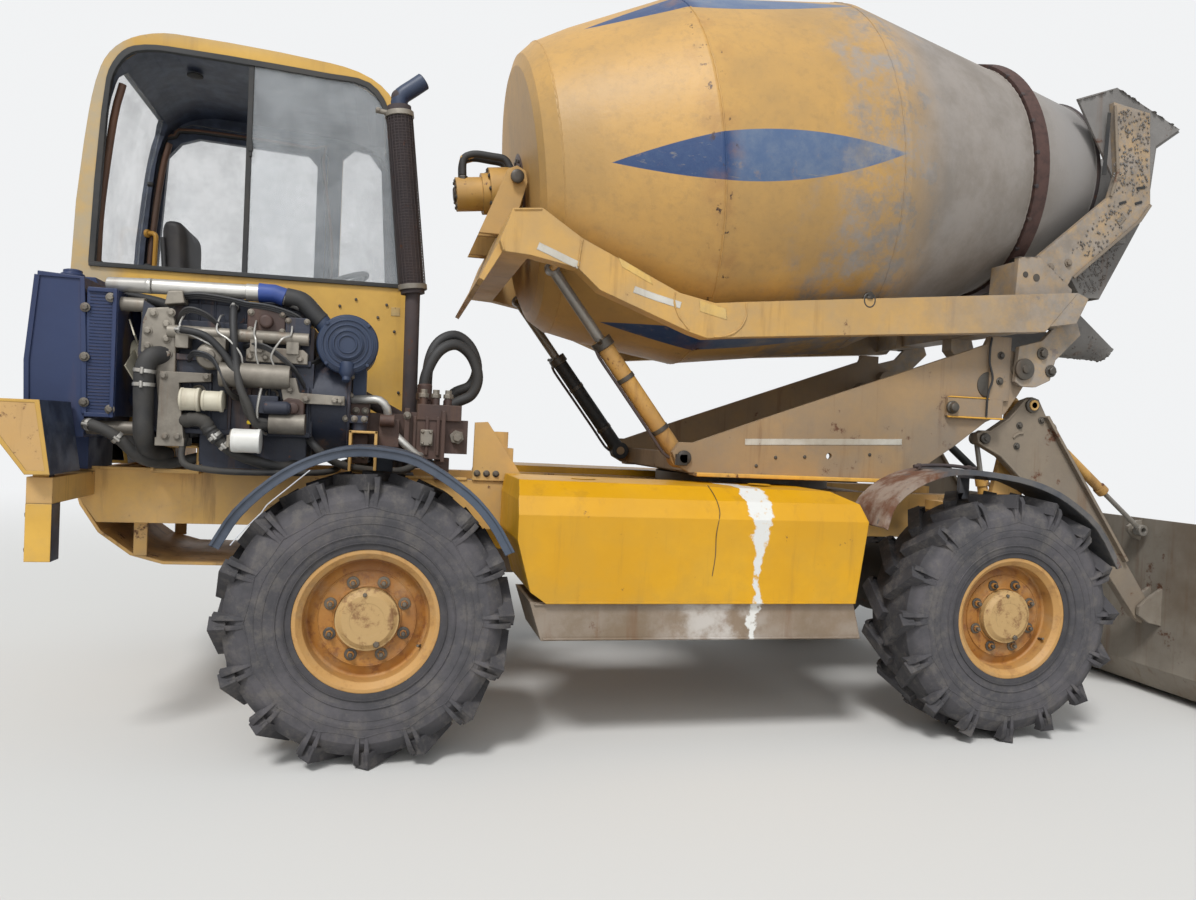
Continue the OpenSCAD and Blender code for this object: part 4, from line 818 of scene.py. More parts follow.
def engineCastings(part):
    dark, light, rusty, bolts = newForm(), newForm(), newForm(), newForm()
    # rocker cover with its ribs, caps and rails
    addSlab(dark, [(-2056, 1600), (-2046, 1622), (-1585, 1622), (-1575, 1600)], -566, -296)
    for x in range(*part["coverRibs"]):
        addBlock(dark, x, x + 9, -573, -290, 1530, 1628)
    for x in (-1990, -1860, -1730):
        addTurned(dark, at(x, -430, 1620), up, [(0, 0.034), (0.018, 0.034), (0.026, 0.026)], 20)
    # ribs, core plugs and pads on the block's face
    for x in range(*part["blockRibs"]):
        addBlock(dark, x, x + 12, -652, -636, 1120, 1300)
    for x in (-1950, -1820, -1690):
        addTurned(light, at(x, -636, 1262), near, [
            (0, 0.026), (0.008, 0.026), (0.008, 0.020), (0.003, 0.016)], 22)
    addBlock(dark, -2100, -1550, -656, -630, 1376, 1400)
    addBlock(dark, -2105, -1545, -655, -630, 1104, 1124)
    addSlab(dark, [(-1950, 1000), (-1930, 975), (-1600, 975), (-1560, 1000), (-1560, 1106), (-1950, 1106)],
            -606, -590)
    addBlock(dark, -1770, -1660, -700, -636, 1190, 1258)
    # timing cover at the fan's end
    addSlab(light, [(-2146, 1514), (-2130, 1560), (-2060, 1568), (-2038, 1521), (-2030, 1400),
                    (-2027, 1173), (-2078, 1160), (-2100, 1339), (-2150, 1400)], -663, -604)
    addSlab(light, [(-2080, 1580), (-2070, 1630), (-2020, 1634), (-2010, 1590)], -640, -560)
    addBolts(bolts, ((-2127, 1475), (-2126, 1420), (-2064, 1504), (-2063, 1449), (-2056, 1395),
                     (-2124, 1366), (-2061, 1270), (-2064, 1211), (-2050, 1548), (-2110, 1540)), -663,
             0.011)
    # inlet casting, brown exchanger and black box over the pump
    addSlab(light, [(-1785, 1384), (-1785, 1428), (-1765, 1444), (-1580, 1440), (-1562, 1425),
                    (-1562, 1384)], -668, -604)
    addBolts(bolts, [(x, 1402) for x in (-1770, -1715, -1650, -1590)], -668, 0.009)
    addSlab(rusty, [(-1787, 1492), (-1787, 1575), (-1770, 1588), (-1662, 1588), (-1650, 1575),
                    (-1650, 1492)], -648, -560)
    addBolts(bolts, ((-1775, 1505), (-1660, 1505), (-1775, 1572), (-1660, 1572), (-1718, 1540)), -648,
             0.009)
    addTurned(rusty, at(-1718, -648, 1540), near, [(0, 0.026), (0.02, 0.026), (0.026, 0.02)], 20)
    addSlab(dark, [(-1648, 1470), (-1648, 1552), (-1636, 1562), (-1570, 1562), (-1558, 1550),
                   (-1558, 1470)], -662, -560)
    addBolts(bolts, ((-1638, 1482), (-1570, 1482), (-1638, 1548), (-1570, 1548)), -662, 0.008)
    # alternator under the filter, lift pump and starter's solenoid
    addTurned(light, at(-1905, -655, 1395), near, [
        (0, 0.05), (0.03, 0.052), (0.05, 0.046), (0.058, 0.02), (0.064, 0.02)], 26)
    addTurned(dark, at(-1700, -720, 1214), right, [
        (-0.01, 0.016), (0, 0.025), (0.075, 0.025), (0.088, 0.016)], 22)
    addSlab(rusty, [(-1645, 1184), (-1645, 1240), (-1625, 1254), (-1585, 1250), (-1566, 1236),
                    (-1566, 1184)], -704, -636)
    addTurned(rusty, at(-1605, -704, 1216), near, [(0, 0.022), (0.012, 0.022), (0.016, 0.012)], 20)
    # bell housing's rim and its bolts
    y0, z0 = part["bellMiddle"]
    addBand(dark, at(-1412, y0, z0), right, 0, 0.012, 0.205, 0.214, 44)
    for k in range(part["bellBolts"]):
        a = 2 * math.pi * k / part["bellBolts"] + 0.2
        if math.sin(a) < 0.72:
            addBolt(bolts, at(-1400, y0 + part["bellCircle"] * math.cos(a),
                              z0 + part["bellCircle"] * math.sin(a)), right, 0.009)
    # feet, arms and pumps
    addBolts(bolts, ((-2062, 1312), (-1915, 1316), (-2050, 1090), (-2008, 1090)), -690, 0.010)
    addBolts(bolts, ((-1636, 1310), (-1618, 1285), (-1455, 1252), (-1436, 1252), (-1560, 1252)), -700,
             0.010)
    addBolts(bolts, [(x, 1186) for x in (-1415, -1382, -1345)], -650, 0.009)
    addBolts(bolts, ((-1380, 1040), (-1380, 1220), (-1345, 1040), (-1345, 1220)), -565, 0.010)
    addBolts(bolts, ((-1180, 1050), (-1180, 1210)), -555, 0.011)
    for x in (-1155, -1105, -1060):
        addSlab(rusty, [(x, 1050), (x, 1210), (x + 14, 1210), (x + 14, 1050)], -533, -520)
    addSlab(light, [(-1124, 1090), (-1124, 1156), (-1074, 1156), (-1074, 1090)], -540, -530)
    addBolts(bolts, ((-1115, 1100), (-1083, 1100), (-1115, 1146), (-1083, 1146)), -540, 0.005)
    for x in (-1115, -1065, -1015):
        addTurned(bolts, at(x, -500, 1288), up, [
            (0, 0.021), (0.016, 0.021), (0.018, 0.014), (0.034, 0.014)], 6)
        addTurned(rusty, at(x, -455, 1256), up, [(0, 0.018), (0.024, 0.018), (0.03, 0.012)], 16)
    addTurned(bolts, at(-975, -507, 1130), near, [(0, 0.03), (0.02, 0.03), (0.02, 0.018), (0.045, 0.018)],
              6)
    makePiece("engineCastings", dark, "chassis", engineGrey, part["soften"])
    makePiece("engineCovers", light, "chassis", fittingSteel, part["soften"])
    makePiece("rustyCastings", rusty, "chassis", pumpBrown, part["soften"])
    makePiece("engineBolts", bolts, "chassis", fittingSteel)


engineCastings(castings)


canister = {"filters": ((-2000, -1930, 1230, 0.040), (-1925, -1850, 1228, 0.036)),
            "oilFilter": (-1818, -735, 1086), "sleeve": 0.035, "sleeveEnd": 0.0365,
            "cap": (-1755, -690, 1148)}


def canisters(part):
    cream, white, sleeve, cap = newForm(), newForm(), newForm(), newForm()
    for x0, x1, z, r in part["filters"]:
        length = (x1 - x0) / 1000
        addTurned(cream, at(x0 - 2, -705, z), right, [
            (0, r * 0.8), (0.004, r + 0.0015), (0.012, r + 0.003), (0.014, r + 0.001),
            (length - 0.012, r + 0.001), (length - 0.01, r + 0.004), (length, r + 0.004),
            (length + 0.003, r * 0.86)], 30)
    addTurned(white, at(*part["oilFilter"]), right, [
        (0, 0.03), (0.002, 0.040), (0.010, 0.0440), (0.092, 0.0440), (0.097, 0.0458), (0.106, 0.0458),
        (0.108, 0.038)], 36)
    addTube(sleeve, spots([(-1755, -600, 1654.2), (-1725, -600, 1654.6), (-1700, -600, 1655),
                           (-1680, -600, 1649), (-1660, -600, 1642)]),
            lambda t: part["sleeveEnd"] if t < 0.15 or t > 0.85 else part["sleeve"], 26)
    addTurned(cap, at(*part["cap"]), up, [(0, 0.014), (0.01, 0.015), (0.016, 0.010), (0.024, 0.006)], 12)
    makePiece("waterFilters", cream, "chassis", creamFan)
    makePiece("oilFilter", white, "chassis", filterWhite)
    makePiece("blueSleeve", sleeve, "chassis", sleeveBlue)
    makePiece("dipstickCap", cap, "chassis", capYellow)


filterWhite = coated("filterWhite", 0.35, 0.03, 60, "#e2e2de", "#c9c6be", 0.35, rust=0.1, rustSize=30,
                     streaks=0.25, chips=0, low=0.9, high=1.2)
sleeveBlue = coated("sleeveBlue", 0.45, 0.08, 70, "#2c4d9c", "#1f3a78", 0.3, rust=0, streaks=0.1, chips=0)
capYellow = coated("capYellow", 0.4, 0.05, 60, "#e0c21c", "#bfa018", 0.2, rust=0, streaks=0, chips=0.2)
canisters(canister)


airFilter = {"middle": (-1417, -690, 1471), "rings": (0.034, 0.052, 0.075, 0.094), "ringRise": 0.005,
             "dish": 0.010, "clampCircle": 108, "clampRadius": 0.007}


def airFilterTrim(part):
    form = newForm()
    x0, y0, z0 = part["middle"]
    centre = at(x0, y0, z0)
    for r in part["rings"]:
        y = 0.0 if r < 0.06 else -part["dish"]
        addRidge(form, centre, near, r, y, y + part["ringRise"], 0.004, 0.003)
    addTurned(form, centre + near * -0.032, near, [(0, 0.110), (0.008, 0.116), (0.016, 0.110)], 48)
    for k in range(4):
        a = math.radians(45 + 90 * k)
        spot = at(x0 + part["clampCircle"] * math.cos(a), -676, z0 + part["clampCircle"] * math.sin(a))
        addTube(form, [spot + Vector((0, -0.01, 0)), spot, spot + Vector((0, 0.05, 0))],
                part["clampRadius"], 8)
    addTurned(form, at(-1417, -672, 1378), (0, -0.3, -1),
              [(-0.02, 0.03), (0.02, 0.028), (0.036, 0.016), (0.05, 0.016), (0.056, 0.007)], 20)
    makePiece("airFilterTrim", form, "chassis", filterBlackSkySheen)


airFilterTrim(airFilter)


radiator = {"face": (-646, -634), "frame": (-648, -636), "bolt": 0.012, "fins": (1180, 1610, 12),
            "finHeight": 3}


def radiatorTrim(part):
    form, bolts = newForm(), newForm()
    addStrip(form, [(-2503, 1660), (-2357, 1655), (-2345, 1400), (-2337, 1160)], 9, *part["face"])
    addStrip(form, [(-2524, 1132), (-2530, 1346), (-2504, 1655)], 9, *part["face"])
    addBlock(form, -2336, -2240, *part["frame"], 1150, 1166)
    addBlock(form, -2336, -2240, *part["frame"], 1608, 1624)
    addBlock(form, -2252, -2238, -650, -636, 1150, 1624)
    addSlab(form, [(-2456, 1656), (-2440, 1690), (-2380, 1690), (-2366, 1652)], -420, -300)
    addTurned(form, at(-2415, -560, 1660), up, [
        (0, 0.04), (0.016, 0.04), (0.02, 0.032), (0.03, 0.032), (0.034, 0.02)], 24)
    addBolts(bolts, ((-2343, 1548), (-2340, 1368), (-2337, 1202), (-2260, 1590), (-2250, 1180)), -646,
             part["bolt"])
    for z in range(*part["fins"]):
        addBlock(form, -2330, -2256, -643, -639, z, z + part["finHeight"])
    makePiece("radiatorTrim", form, "chassis", radiatorNavy, 0.002)
    makePiece("radiatorBolts", bolts, "chassis", fittingSteel)


radiatorTrim(radiator)
hoseArch = {"radius": 0.023, "collar": 0.031, "lean": -62, "drop": -45}


def hoseArches(part):
    # pressure hoses that stand over the pumps, each crimped into a fitting at both ends
    arches, collars = newForm(), newForm()
    for lean, drop, foot in ((0, 0, 1215), (part["lean"], part["drop"], 1260)):
        route = [(-1096 + lean * 0.2, -322, foot - drop), (-1096 + lean * 0.2, -322, 1420),
                 (-1060, -310, 1530), (-985, -290, 1572), (-915, -270, 1530), (-880, -260, 1440),
                 (-905, -250, 1360), (-985, -240, 1310), (-1010, -240, 1180 - drop)]
        points = [at(x, y + lean, z + drop) for x, y, z in route]
        addTube(arches, smoothPath(points, 0.012), part["radius"], 24)
        for end, rise in ((points[0], 0.09), (points[-1], 0.08)):
            addTurned(collars, end, up, [
                (0, 0.024), (0, part["collar"]), (rise - 0.006, part["collar"]), (rise, 0.024)], 24)
            addTurned(collars, end + up * 0.02, up, [(0, 0.031), (0, 0.037), (0.03, 0.037), (0.03, 0.031)],
                      6)
    addBlock(collars, -1130, -975, -345, -200, 1180, 1230)
    pieces = [makePiece("hoseArches", arches, "chassis", hoseRubber),
              makePiece("hoseCollars", collars, "chassis", pumpBrown, 0.001, 25)]
    for piece in pieces:
        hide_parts("hydraulic_hoses")


hoseArches(hoseArch)

stackGuard = {"foot": (-1171, -215, 1765), "tip": (-1260.6, -215, 2540), "radius": 0.0575, "around": 22,
              "rows": 62, "bar": 0.22, "sheet": 0.0025, "clamps": (0.003, 0.965), "clampHeight": 0.022}


def exhaustGuard(part):
    form, clampForm, elbow = newForm(), newForm(), newForm()
    foot, tip = at(*part["foot"]), at(*part["tip"])
    axis = tip - foot
    side = axis.orthogonal().normalized()
    out = axis.normalized().cross(side)

    def point(a, t, r):
        turn = 2 * math.pi * a / part["around"]
        return foot + axis * t + (side * math.cos(turn) + out * math.sin(turn)) * r
    bar, r, thick = part["bar"], part["radius"], part["sheet"]
    box = [(0, 1, 2, 3), (7, 6, 5, 4), (0, 4, 5, 1), (2, 6, 7, 3), (1, 5, 6, 2), (3, 7, 4, 0)]
    for j in range(part["rows"]):
        for k in range(part["around"]):
            for a0, a1, b0, b1 in ((0, 1, 0, bar), (0, bar, bar, 1)):
                corners = [(k + a0, j + b0), (k + a1, j + b0), (k + a1, j + b1), (k + a0, j + b1)]
                outer = [point(a, b / part["rows"], r) for a, b in corners]
                inner = [point(a, b / part["rows"], r - thick) for a, b in corners]
                addFaces(form, outer + inner, box)
    for share in part["clamps"]:
        addBand(clampForm, foot + axis * share, axis, 0, part["clampHeight"], r - 0.003, r + 0.005, 40)
    ear = foot + axis * part["clamps"][1] + Vector((-r - 0.004, -0.02, 0.01))
    addTube(clampForm, [ear + Vector((-0.04, 0, 0.004)), ear, ear + Vector((0.02, 0, 0))], 0.011, 10)
    addBolt(clampForm, ear + Vector((-0.03, -0.008, 0.004)), near, 0.008)
    addTube(elbow, spots([(-1261, -215, 2546), (-1262, -215, 2575), (-1259, -215, 2596),
                          (-1250, -215, 2612), (-1236, -215, 2624), (-1203, -215, 2650),
                          (-1162, -215, 2684)]), 0.0368, 28)
    makePiece("exhaustGuard", form, "chassis", stackBrown)
    makePiece("exhaustClamps", clampForm, "chassis", fittingSteel)
    makePiece("exhaustBend", elbow, "chassis", filterBlackSkySheen)


exhaustGuard(stackGuard)
print("stage: wheels")
# lugRows: radius, half width, distance outwards; ribs: radius, distance outwards, height
# rings: radius, distance outwards, half width
wheelForm = {
    "lugs": 16, "studs": 8, "studCircle": 0.1375, "halfTrack": 908, "axle": 1298, "hubHeight": 480,
    "lip": 0.0085, "treadLip": 0.006, "treadStart": 0.5, "lugDepth": 0.034,
    "lugRows": ((0.506, 0.026, 0.148), (0.486, 0.026, 0.1635), (0.455, 0.025, 0.1670),
                (0.425, 0.022, 0.1672),
                (0.398, 0.019, 0.1655)),
    "ribs": ((0.372, 0.1655, 0.0022), (0.345, 0.1645, 0.002), (0.305, 0.1600, 0.0035),
             (0.276, 0.1560, 0.004)),
    "rings": ((0.2150, 0.0640, 0.005), (0.1700, 0.0885, 0.003), (0.1160, 0.0900, 0.006)),
}


def dressWheel(end, side, part):
    name = f"{end}_{side}"
    s = -1 if side == "near" else 1
    centre = at(part["axle"] * (-1 if end == "rear" else 1), s * part["halfTrack"], part["hubHeight"])

    def turned(r, a, out):
        # out: distance from the tyre's middle towards its outer side
        return centre + Vector((r * math.cos(a), s * out, r * math.sin(a) * -s))
    rubber = newForm()
    step = 2 * math.pi / part["lugs"]
    for face in (1, -1):
        for i in range(part["lugs"]):
            a = (i + (0 if face > 0 else 0.5)) * step
            for half in (-1, 1):
                rows = []
                for r, wide, out in part["lugRows"]:
                    lip = part["lip"] if r < part["treadStart"] else part["treadLip"]
                    low = out - part["lugDepth"]
                    a0, a1 = half * lip / r, half * wide / r
                    rows.append([turned(r, a + turn, face * o) for turn,
                                 o in ((a0, low), (a0, out), (a1, out - 0.002), (a1 * 1.16, low))])
                verts = [p for row in rows for p in row]
                faces = [(i4, i4 + 1, i4 + 5, i4 + 4) for k in range(4)
                         for i4 in (4 * k, 4 * k + 1, 4 * k + 2)]
                addFaces(rubber, verts, faces + [(0, 1, 2, 3), (16, 17, 18, 19)])
            # bridge at the foot of the two lips, and the scalloped shoulder up to the next lug
            bridge = [[turned(r, a + w / r, face * (out - low)) for w,
                       low in ((-0.010, 0.02), (-0.010, 0.004), (0.010, 0.004), (0.010, 0.02))] for r,
                      out in ((0.425, 0.1668), (0.402, 0.1655))]
            addPrism(rubber, *bridge)
            scallop = [turned(0.404 - 0.012 * math.sin(math.pi * t / 8), a + step * t / 8, face * 0.1628)
                       for t in range(9)]
            addTube(rubber, scallop, 0.0032, 6)
    outward = Vector((0, s, 0))
    for r, out, h in part["ribs"]:
        for face in (1, -1):
            addRidge(rubber, centre, outward * face, r, out - 0.004, out + h, 0.004, 0.0015, 72)
    makePiece("lugShoulders_" + name, rubber, name + "_wheel", tyreRubber[end], angle=40)
    steel = newForm()
    for k in range(part["studs"]):
        a = 2 * math.pi * (k + 0.5) / part["studs"]
        r = part["studCircle"]
        spot = centre + Vector((r * math.cos(a), s * 0.0905, r * math.sin(a)))
        addTurned(steel, spot, outward, [(0, 0.022), (0.004, 0.022), (0.005, 0.018)], 20)
        addTurned(steel, spot, outward, [(0.014, 0.0085), (0.026, 0.0085), (0.029, 0.006)], 14)
    addTurned(steel, centre + Vector((0.035, s * 0.1305, -0.085)), outward,
              [(0, 0.012), (0.004, 0.012), (0.007, 0.009)], 6)
    addTurned(steel, centre + Vector((-0.01, s * 0.1305, 0.09)), outward,
              [(0, 0.008), (0.004, 0.008), (0.006, 0.006)], 6)
    valve = centre + Vector((0.19, s * 0.085, -0.10))
    addTube(steel, [valve, valve + outward * 0.022 + Vector((-0.004, 0, 0.002)),
                    valve + outward * 0.04 + Vector((-0.012, 0, 0.008))], 0.005, 10)
    makePiece("studs_" + name, steel, name + "_wheel", greasySteel)
    rings = newForm()
    for r, out, wide in part["rings"]:
        addRidge(rings, centre, outward, r, out - 0.004, out + 0.004, wide, wide * 0.6, 64)
    makePiece("rimRings_" + name, rings, name + "_wheel", rimPaint[end])


for wheelEnd in ("rear", "front"):
    for wheelSide in ("near", "far"):
        dressWheel(wheelEnd, wheelSide, wheelForm)

print("stage: chassis, fenders and tank")


chassisForm = {"cornerAt": 949, "cornerThick": 9, "bumperPosts": 855, "bolt": 0.012, "lipLine": 0.0022,
               "rod": 0.008}


def chassisTrim(part):
    plates, bolts, lipLine = newForm(), newForm(), newForm()
    outline = [(-2599, 1199), (-2378, 1200), (-2341, 954), (-2415, 952)]
    outside, inner = part["cornerAt"], part["cornerAt"] - part["cornerThick"]
    for y0, y1 in ((-outside, -inner), (inner, outside)):
        addSlab(plates, outline, y0, y1)
    for x0, x1, y0, y1, z in ((-2128, -1960, -541, -530, 1055), (-1398, -1294, -656, -645, 1140)):
        addBlock(plates, x0 - 2, x0 + 9, y0, y1, 952, z + 1)
        addBlock(plates, x1 - 9, x1 + 2, y0, y1, 952, z + 1)
        addBlock(plates, x0 - 2, x1 + 2, y0, y1, z - 9, z + 1)
    addSlab(plates, [(-2400, 952), (-2390, 960), (-920, 960), (-920, 948), (-2400, 948)], -456, -440)
    for y in (-part["bumperPosts"], part["bumperPosts"]):
        for z in (690, 810):
            addBolt(bolts, at(-2429, y, z), -right, part["bolt"])
        addBolt(bolts, at(-2389, math.copysign(815, y), 800), (0, math.copysign(1, y), 0), part["bolt"])
    addBolts(bolts, [(x, 980) for x in (-880, -840, -800)], -460, 0.010)
    addBolts(bolts, [(x, 850) for x in (-560, 40)], -480, part["bolt"])
    # pale bluish-white line along the rear fender's lip
    addHose(lipLine, [(-1752, -1069.5, 742), (-1715, -1070, 790), (-1654, -1070, 857), (-1640, -1070, 880),
                    (-1580, -1070, 935), (-1505, -1069.5, 1003)], part["lipLine"], 6, 0.01)
    makePiece("chassisPlates", plates, "chassis", chassisYellow, 0.003)
    makePiece("chassisBolts", bolts, "chassis", greasySteel)
    makePiece("fenderLipLine", lipLine, "chassis", lipLineWhite)
    rust = newForm()
    addHose(rust, [(905, -905, 1092), (960, -905, 1098), (1080, -902, 1101), (1205, -900, 1092)],
            part["rod"], 10, 0.02)
    for x in (930, 1170):
        addTurned(rust, at(x, -904, 1082), up, [(0, 0.011), (0.02, 0.011), (0.024, 0.007)], 12)
    makePiece("fenderRod", rust, "chassis", stackBrown)


lipLineWhite = coated("lipLineWhite", 0.6, 0.1, 60, "#d8dade", "#a9adb3", 0.2, rust=0, streaks=0, chips=0)
chassisTrim(chassisForm)


tankForm = {"left": -775, "right": 643, "seamAt": (-1007, -990), "catches": (-470, 300), "crack": 0.0016,
            "lipAt": (-992, -984)}


def tankTrim(part):
    # lid's seam, two catches and the folded lip over the skirt
    form, dark = newForm(), newForm()
    x0, x1 = part["left"], part["right"]
    addSlab(form, [(x0 + 104, 540), (x0 + 118, 531), (x1 - 36, 531), (x1 - 36, 540)], *part["seamAt"])
    for x in part["catches"]:
        addTurned(form, at(x, -700, 984.5), up, [(0, 0.05), (0.0015, 0.05), (0.0015, 0.02), (0.0016, 0.01)],
                  30)
    addHose(dark, [(-8, -905, 984), (-2, -940, 962), (2, -985, 931), (8, -1005, 895), (4, -1018, 868),
                   (-6, -1019, 800), (-4, -1014, 720), (-12, -1010, 640)], part["crack"], 6, 0.012)
    makePiece("tankTrim", form, "chassis", tankYellow, 0.002)
    makePiece("tankCrack", dark, "chassis", sealRubber)
    slats = newForm()
    addSlab(slats, [(-700, 522), (-694, 530), (600, 530), (606, 522)], *part["lipAt"])
    addSlab(slats, [(-664, 400), (-660, 392), (640, 388), (643, 396)], *part["lipAt"])
    makePiece("skirtLips", slats, "chassis", skirtGrey, 0.002)


tankTrim(tankForm)
print("stage: beams, sub-frame and drum drive")


def beamTrim(part):
    tape, lowTape, label, steel, strap = newForm(), newForm(), newForm(), newForm(), newForm()
    addStrip(tape, [(-700, 1909), (-640, 1887), (-585, 1865), (-530, 1845)], 15, *part["tapeAt"])
    addStrip(tape, [(-296, 1768), (-195, 1741), (-92, 1718)], 14, *part["tapeAt"])
    addSlab(label, [(-369, 1893), (-232, 1829), (-216, 1792), (-352, 1855)], *part["labelAt"])
    addSlab(label, [(-13, 1746), (108, 1720), (115, 1672), (-6, 1698)], *part["labelAt"])
    addStrip(lowTape, [(272, 1163), (640, 1178), (1041, 1194)], 14, *part["frameTapeAt"])
    # shackle on the beam's top edge
    addTube(steel, spots([(773, -716, 1832), (773, -680, 1832)]), 0.012, 14)
    ring = [at(773 + 26 * math.cos(a), -706, 1806 + 30 * math.sin(a))
            for a in [math.radians(d) for d in range(95, 450, 15)]]
    addTube(steel, ring, 0.007, 10)
    addTurned(steel, at(773, -700, 1812), up, [(0, 0.02), (0.01, 0.02), (0.014, 0.012), (0.03, 0.012)], 16)
    # creases and weld beads across the beam
    addHose(strap, [(198, -712, 1750), (201, -713, 1695), (170, -713, 1637), (113, -713, 1605),
                    (60, -712, 1598)], lambda t: 0.004 + 0.001 * math.sin(t * 160), 8, 0.01)
    addHose(strap, [(-51, -712, 1620), (-98, -713, 1673), (-120, -713, 1726), (-118, -712, 1768)],
            lambda t: 0.004 + 0.001 * math.sin(t * 120), 8, 0.01)
    addHose(strap, [(-520, -713, 1950), (-528, -713, 1890), (-533, -713, 1840)],
            lambda t: 0.004 + 0.001 * math.sin(t * 90), 8, 0.01)
    for x0, z0, x1, z1 in ((-800, 2044, -690, 2056), (-846, 1912, -834, 1880)):
        addTube(strap, [at(x0, -712, z0), at((x0 + x1) / 2, -713, (z0 + z1) / 2), at(x1, -712, z1)], 0.005,
                8)
    makePiece("beamTape", tape, "tilter", tapeWhite)
    makePiece("frameTape", lowTape, "carrier", tapeWhite)
    makePiece("blankLabels", label, "tilter", labelCream)
    makePiece("shackle", steel, "tilter", greasySteel)
    makePiece("beamWelds", strap, "tilter", beamYellow)


tapeWhite = coated("tapeWhite", 0.6, 0.15, 60, "#c9c6bd", "#a79f8f", 0.5, rust=0.5, rustSize=20,
                   streaks=0.3, chips=0.6, low=1.0, high=2.2)
labelCream = coated("labelCream", 0.6, 0.1, 60, "#cfa95a", "#b8a37a", 0.5, rust=0.4, rustSize=26,
                    streaks=0.2, chips=1.0, low=1.2, high=2.2)
# places along Y of the flat things on the beam's and the sub-frame's near faces
beamForm = {"tapeAt": (-713.2, -711.5), "labelAt": (-713.0, -711.5), "frameTapeAt": (-591.5, -589.5)}
beamTrim(beamForm)


subFrame = {"face": -590, "plugs": ((420, 1100), (560, 1108), (880, 1130), (330, 1060)), "plug": 0.008,
            "bolt": 0.013, "cable": 0.005}


def subFrameTrim(part):
    lip, pins, cable = newForm(), newForm(), newForm()
    addBlock(lip, 42, 1064, -633, -590, 1006, 1023)
    addSlab(lip, [(1253, 1326), (1262, 1318), (1545, 1318), (1552, 1326)], -618, -600)
    addSlab(lip, [(1253, 1412), (1262, 1418), (1470, 1418), (1476, 1412)], -616, -600)
    for z in (1500, 1620):
        addBolt(pins, at(1526, -606, z), near, part["bolt"])
    addTurned(pins, at(1275, -612, 1365), near, [
        (0, 0.03), (0.012, 0.03), (0.016, 0.024), (0.03, 0.02), (0.034, 0.012)], 22)
    addTurned(pins, at(1627, -638, 1560), near, [
        (0, 0.05), (0.012, 0.05), (0.016, 0.04), (0.016, 0.02), (0.024, 0.02), (0.026, 0.012)], 30)
    addTurned(pins, at(1480, part["face"], 1480), near, [(0, 0.062), (0.004, 0.062), (0.008, 0.05)], 30)
    addBlock(pins, -45, 5, -608, -588, 1050, 1098)
    addTurned(pins, at(-8, part["face"], 1083), near, [(0, 0.032), (0.014, 0.032), (0.018, 0.022)], 24)
    for x, z in part["plugs"]:
        addTurned(pins, at(x, part["face"], z), near,
                  [(0, part["plug"]), (0.003, part["plug"]), (0.004, 0.005)], 12)
    addHose(cable, [(1469, -612, 1700), (1460, -614, 1640), (1462, -614, 1581), (1476, -622, 1508),
                    (1455, -622, 1432), (1454, -620, 1330)], part["cable"], 8, 0.012)
    makePiece("flangeLips", lip, "carrier", flangeYellow, 0.003)
    makePiece("carrierPins", pins, "carrier", greasySteel, 0.001)
    makePiece("strapCable", cable, "carrier", hoseRubber)


flangeYellow = coated("flangeYellow", 0.45, 0.1, 50, "#e2aa3e", "#cb9840", 0.3, rust=0.4, streaks=0.3,
                      chips=0.7, low=0.9, high=1.3)
subFrameTrim(subFrame)


# route of the line: along the cylinder, away from it
tiltCylinder = {"foot": (-8, -521, 1083), "eye": (-606, -521, 1860), "bands": (150, 420), "gland": 596,
                "fitting": 600, "line": 0.007, "route": ((20, 34), (60, 50), (200, 49), (400, 49),
                                                         (560, 49), (590, 40))}


def cylinderTrim(part):
    # rusty line along each tilt cylinder, its bands and the gland's fitting
    foot, eye = Vector(part["foot"]), Vector(part["eye"])
    line = (eye - foot).normalized()
    left = Vector((-line.z, 0, line.x)) * (1 if -line.z < 0 else -1)
    pipes, gland = newForm(), newForm()
    for s in (1, -1):
        path = [foot + line * a + left * b + Vector((0, -12, 0)) for a, b in part["route"]]
        path = [Vector((p.x, p.y * s, p.z)) for p in path]
        addHose(pipes, path, part["line"], 10, 0.02)
        for a in part["bands"]:
            spot = foot + line * a
            addBand(gland, at(spot.x, spot.y * s, spot.z), (line.x, line.y * s, line.z), -0.01, 0.01,
                    0.0385, 0.041)
        spot = foot + line * part["gland"]
        addTurned(gland, at(spot.x, spot.y * s, spot.z), (line.x, line.y * s, line.z),
                  [(-0.02, 0.0445), (-0.018, 0.047), (0.02, 0.047), (0.022, 0.0445)], 30, True)
        mouth = foot + line * part["fitting"]
        addTurned(gland, at(mouth.x - 20, (mouth.y - 40) * s, mouth.z), (-0.4, -0.8 * s, 0.1),
                  [(0, 0.012), (0.02, 0.012), (0.024, 0.009), (0.04, 0.009)], 6)
    makePiece("cylinderLines", pipes, "tilt_barrel_pair", stackBrown)
    makePiece("cylinderGlands", gland, "tilt_barrel_pair", greasySteel)


cylinderTrim(tiltCylinder)


def aroundDrum(along, turn):
    # spot on the drum's axis, and the way outwards at a share of a turn
    a = 2 * math.pi * turn
    outwards = drumAbove * math.sin(a) + Vector((0, 1, 0)) * math.cos(a)
    return drumForm["foot"] + drumAxis * along, outwards


# bolt circles: count, share of a step that they are turned, along the axis, circle's radius, bolt's size
driveForm = {"hose": 0.0175, "studs": 18, "studCircle": 0.148, "stud": 0.008,
             "boltCircles": ((10, 0, -0.165, 0.107, 0.008), (8, 0.5, -0.32, 0.062, 0.007))}


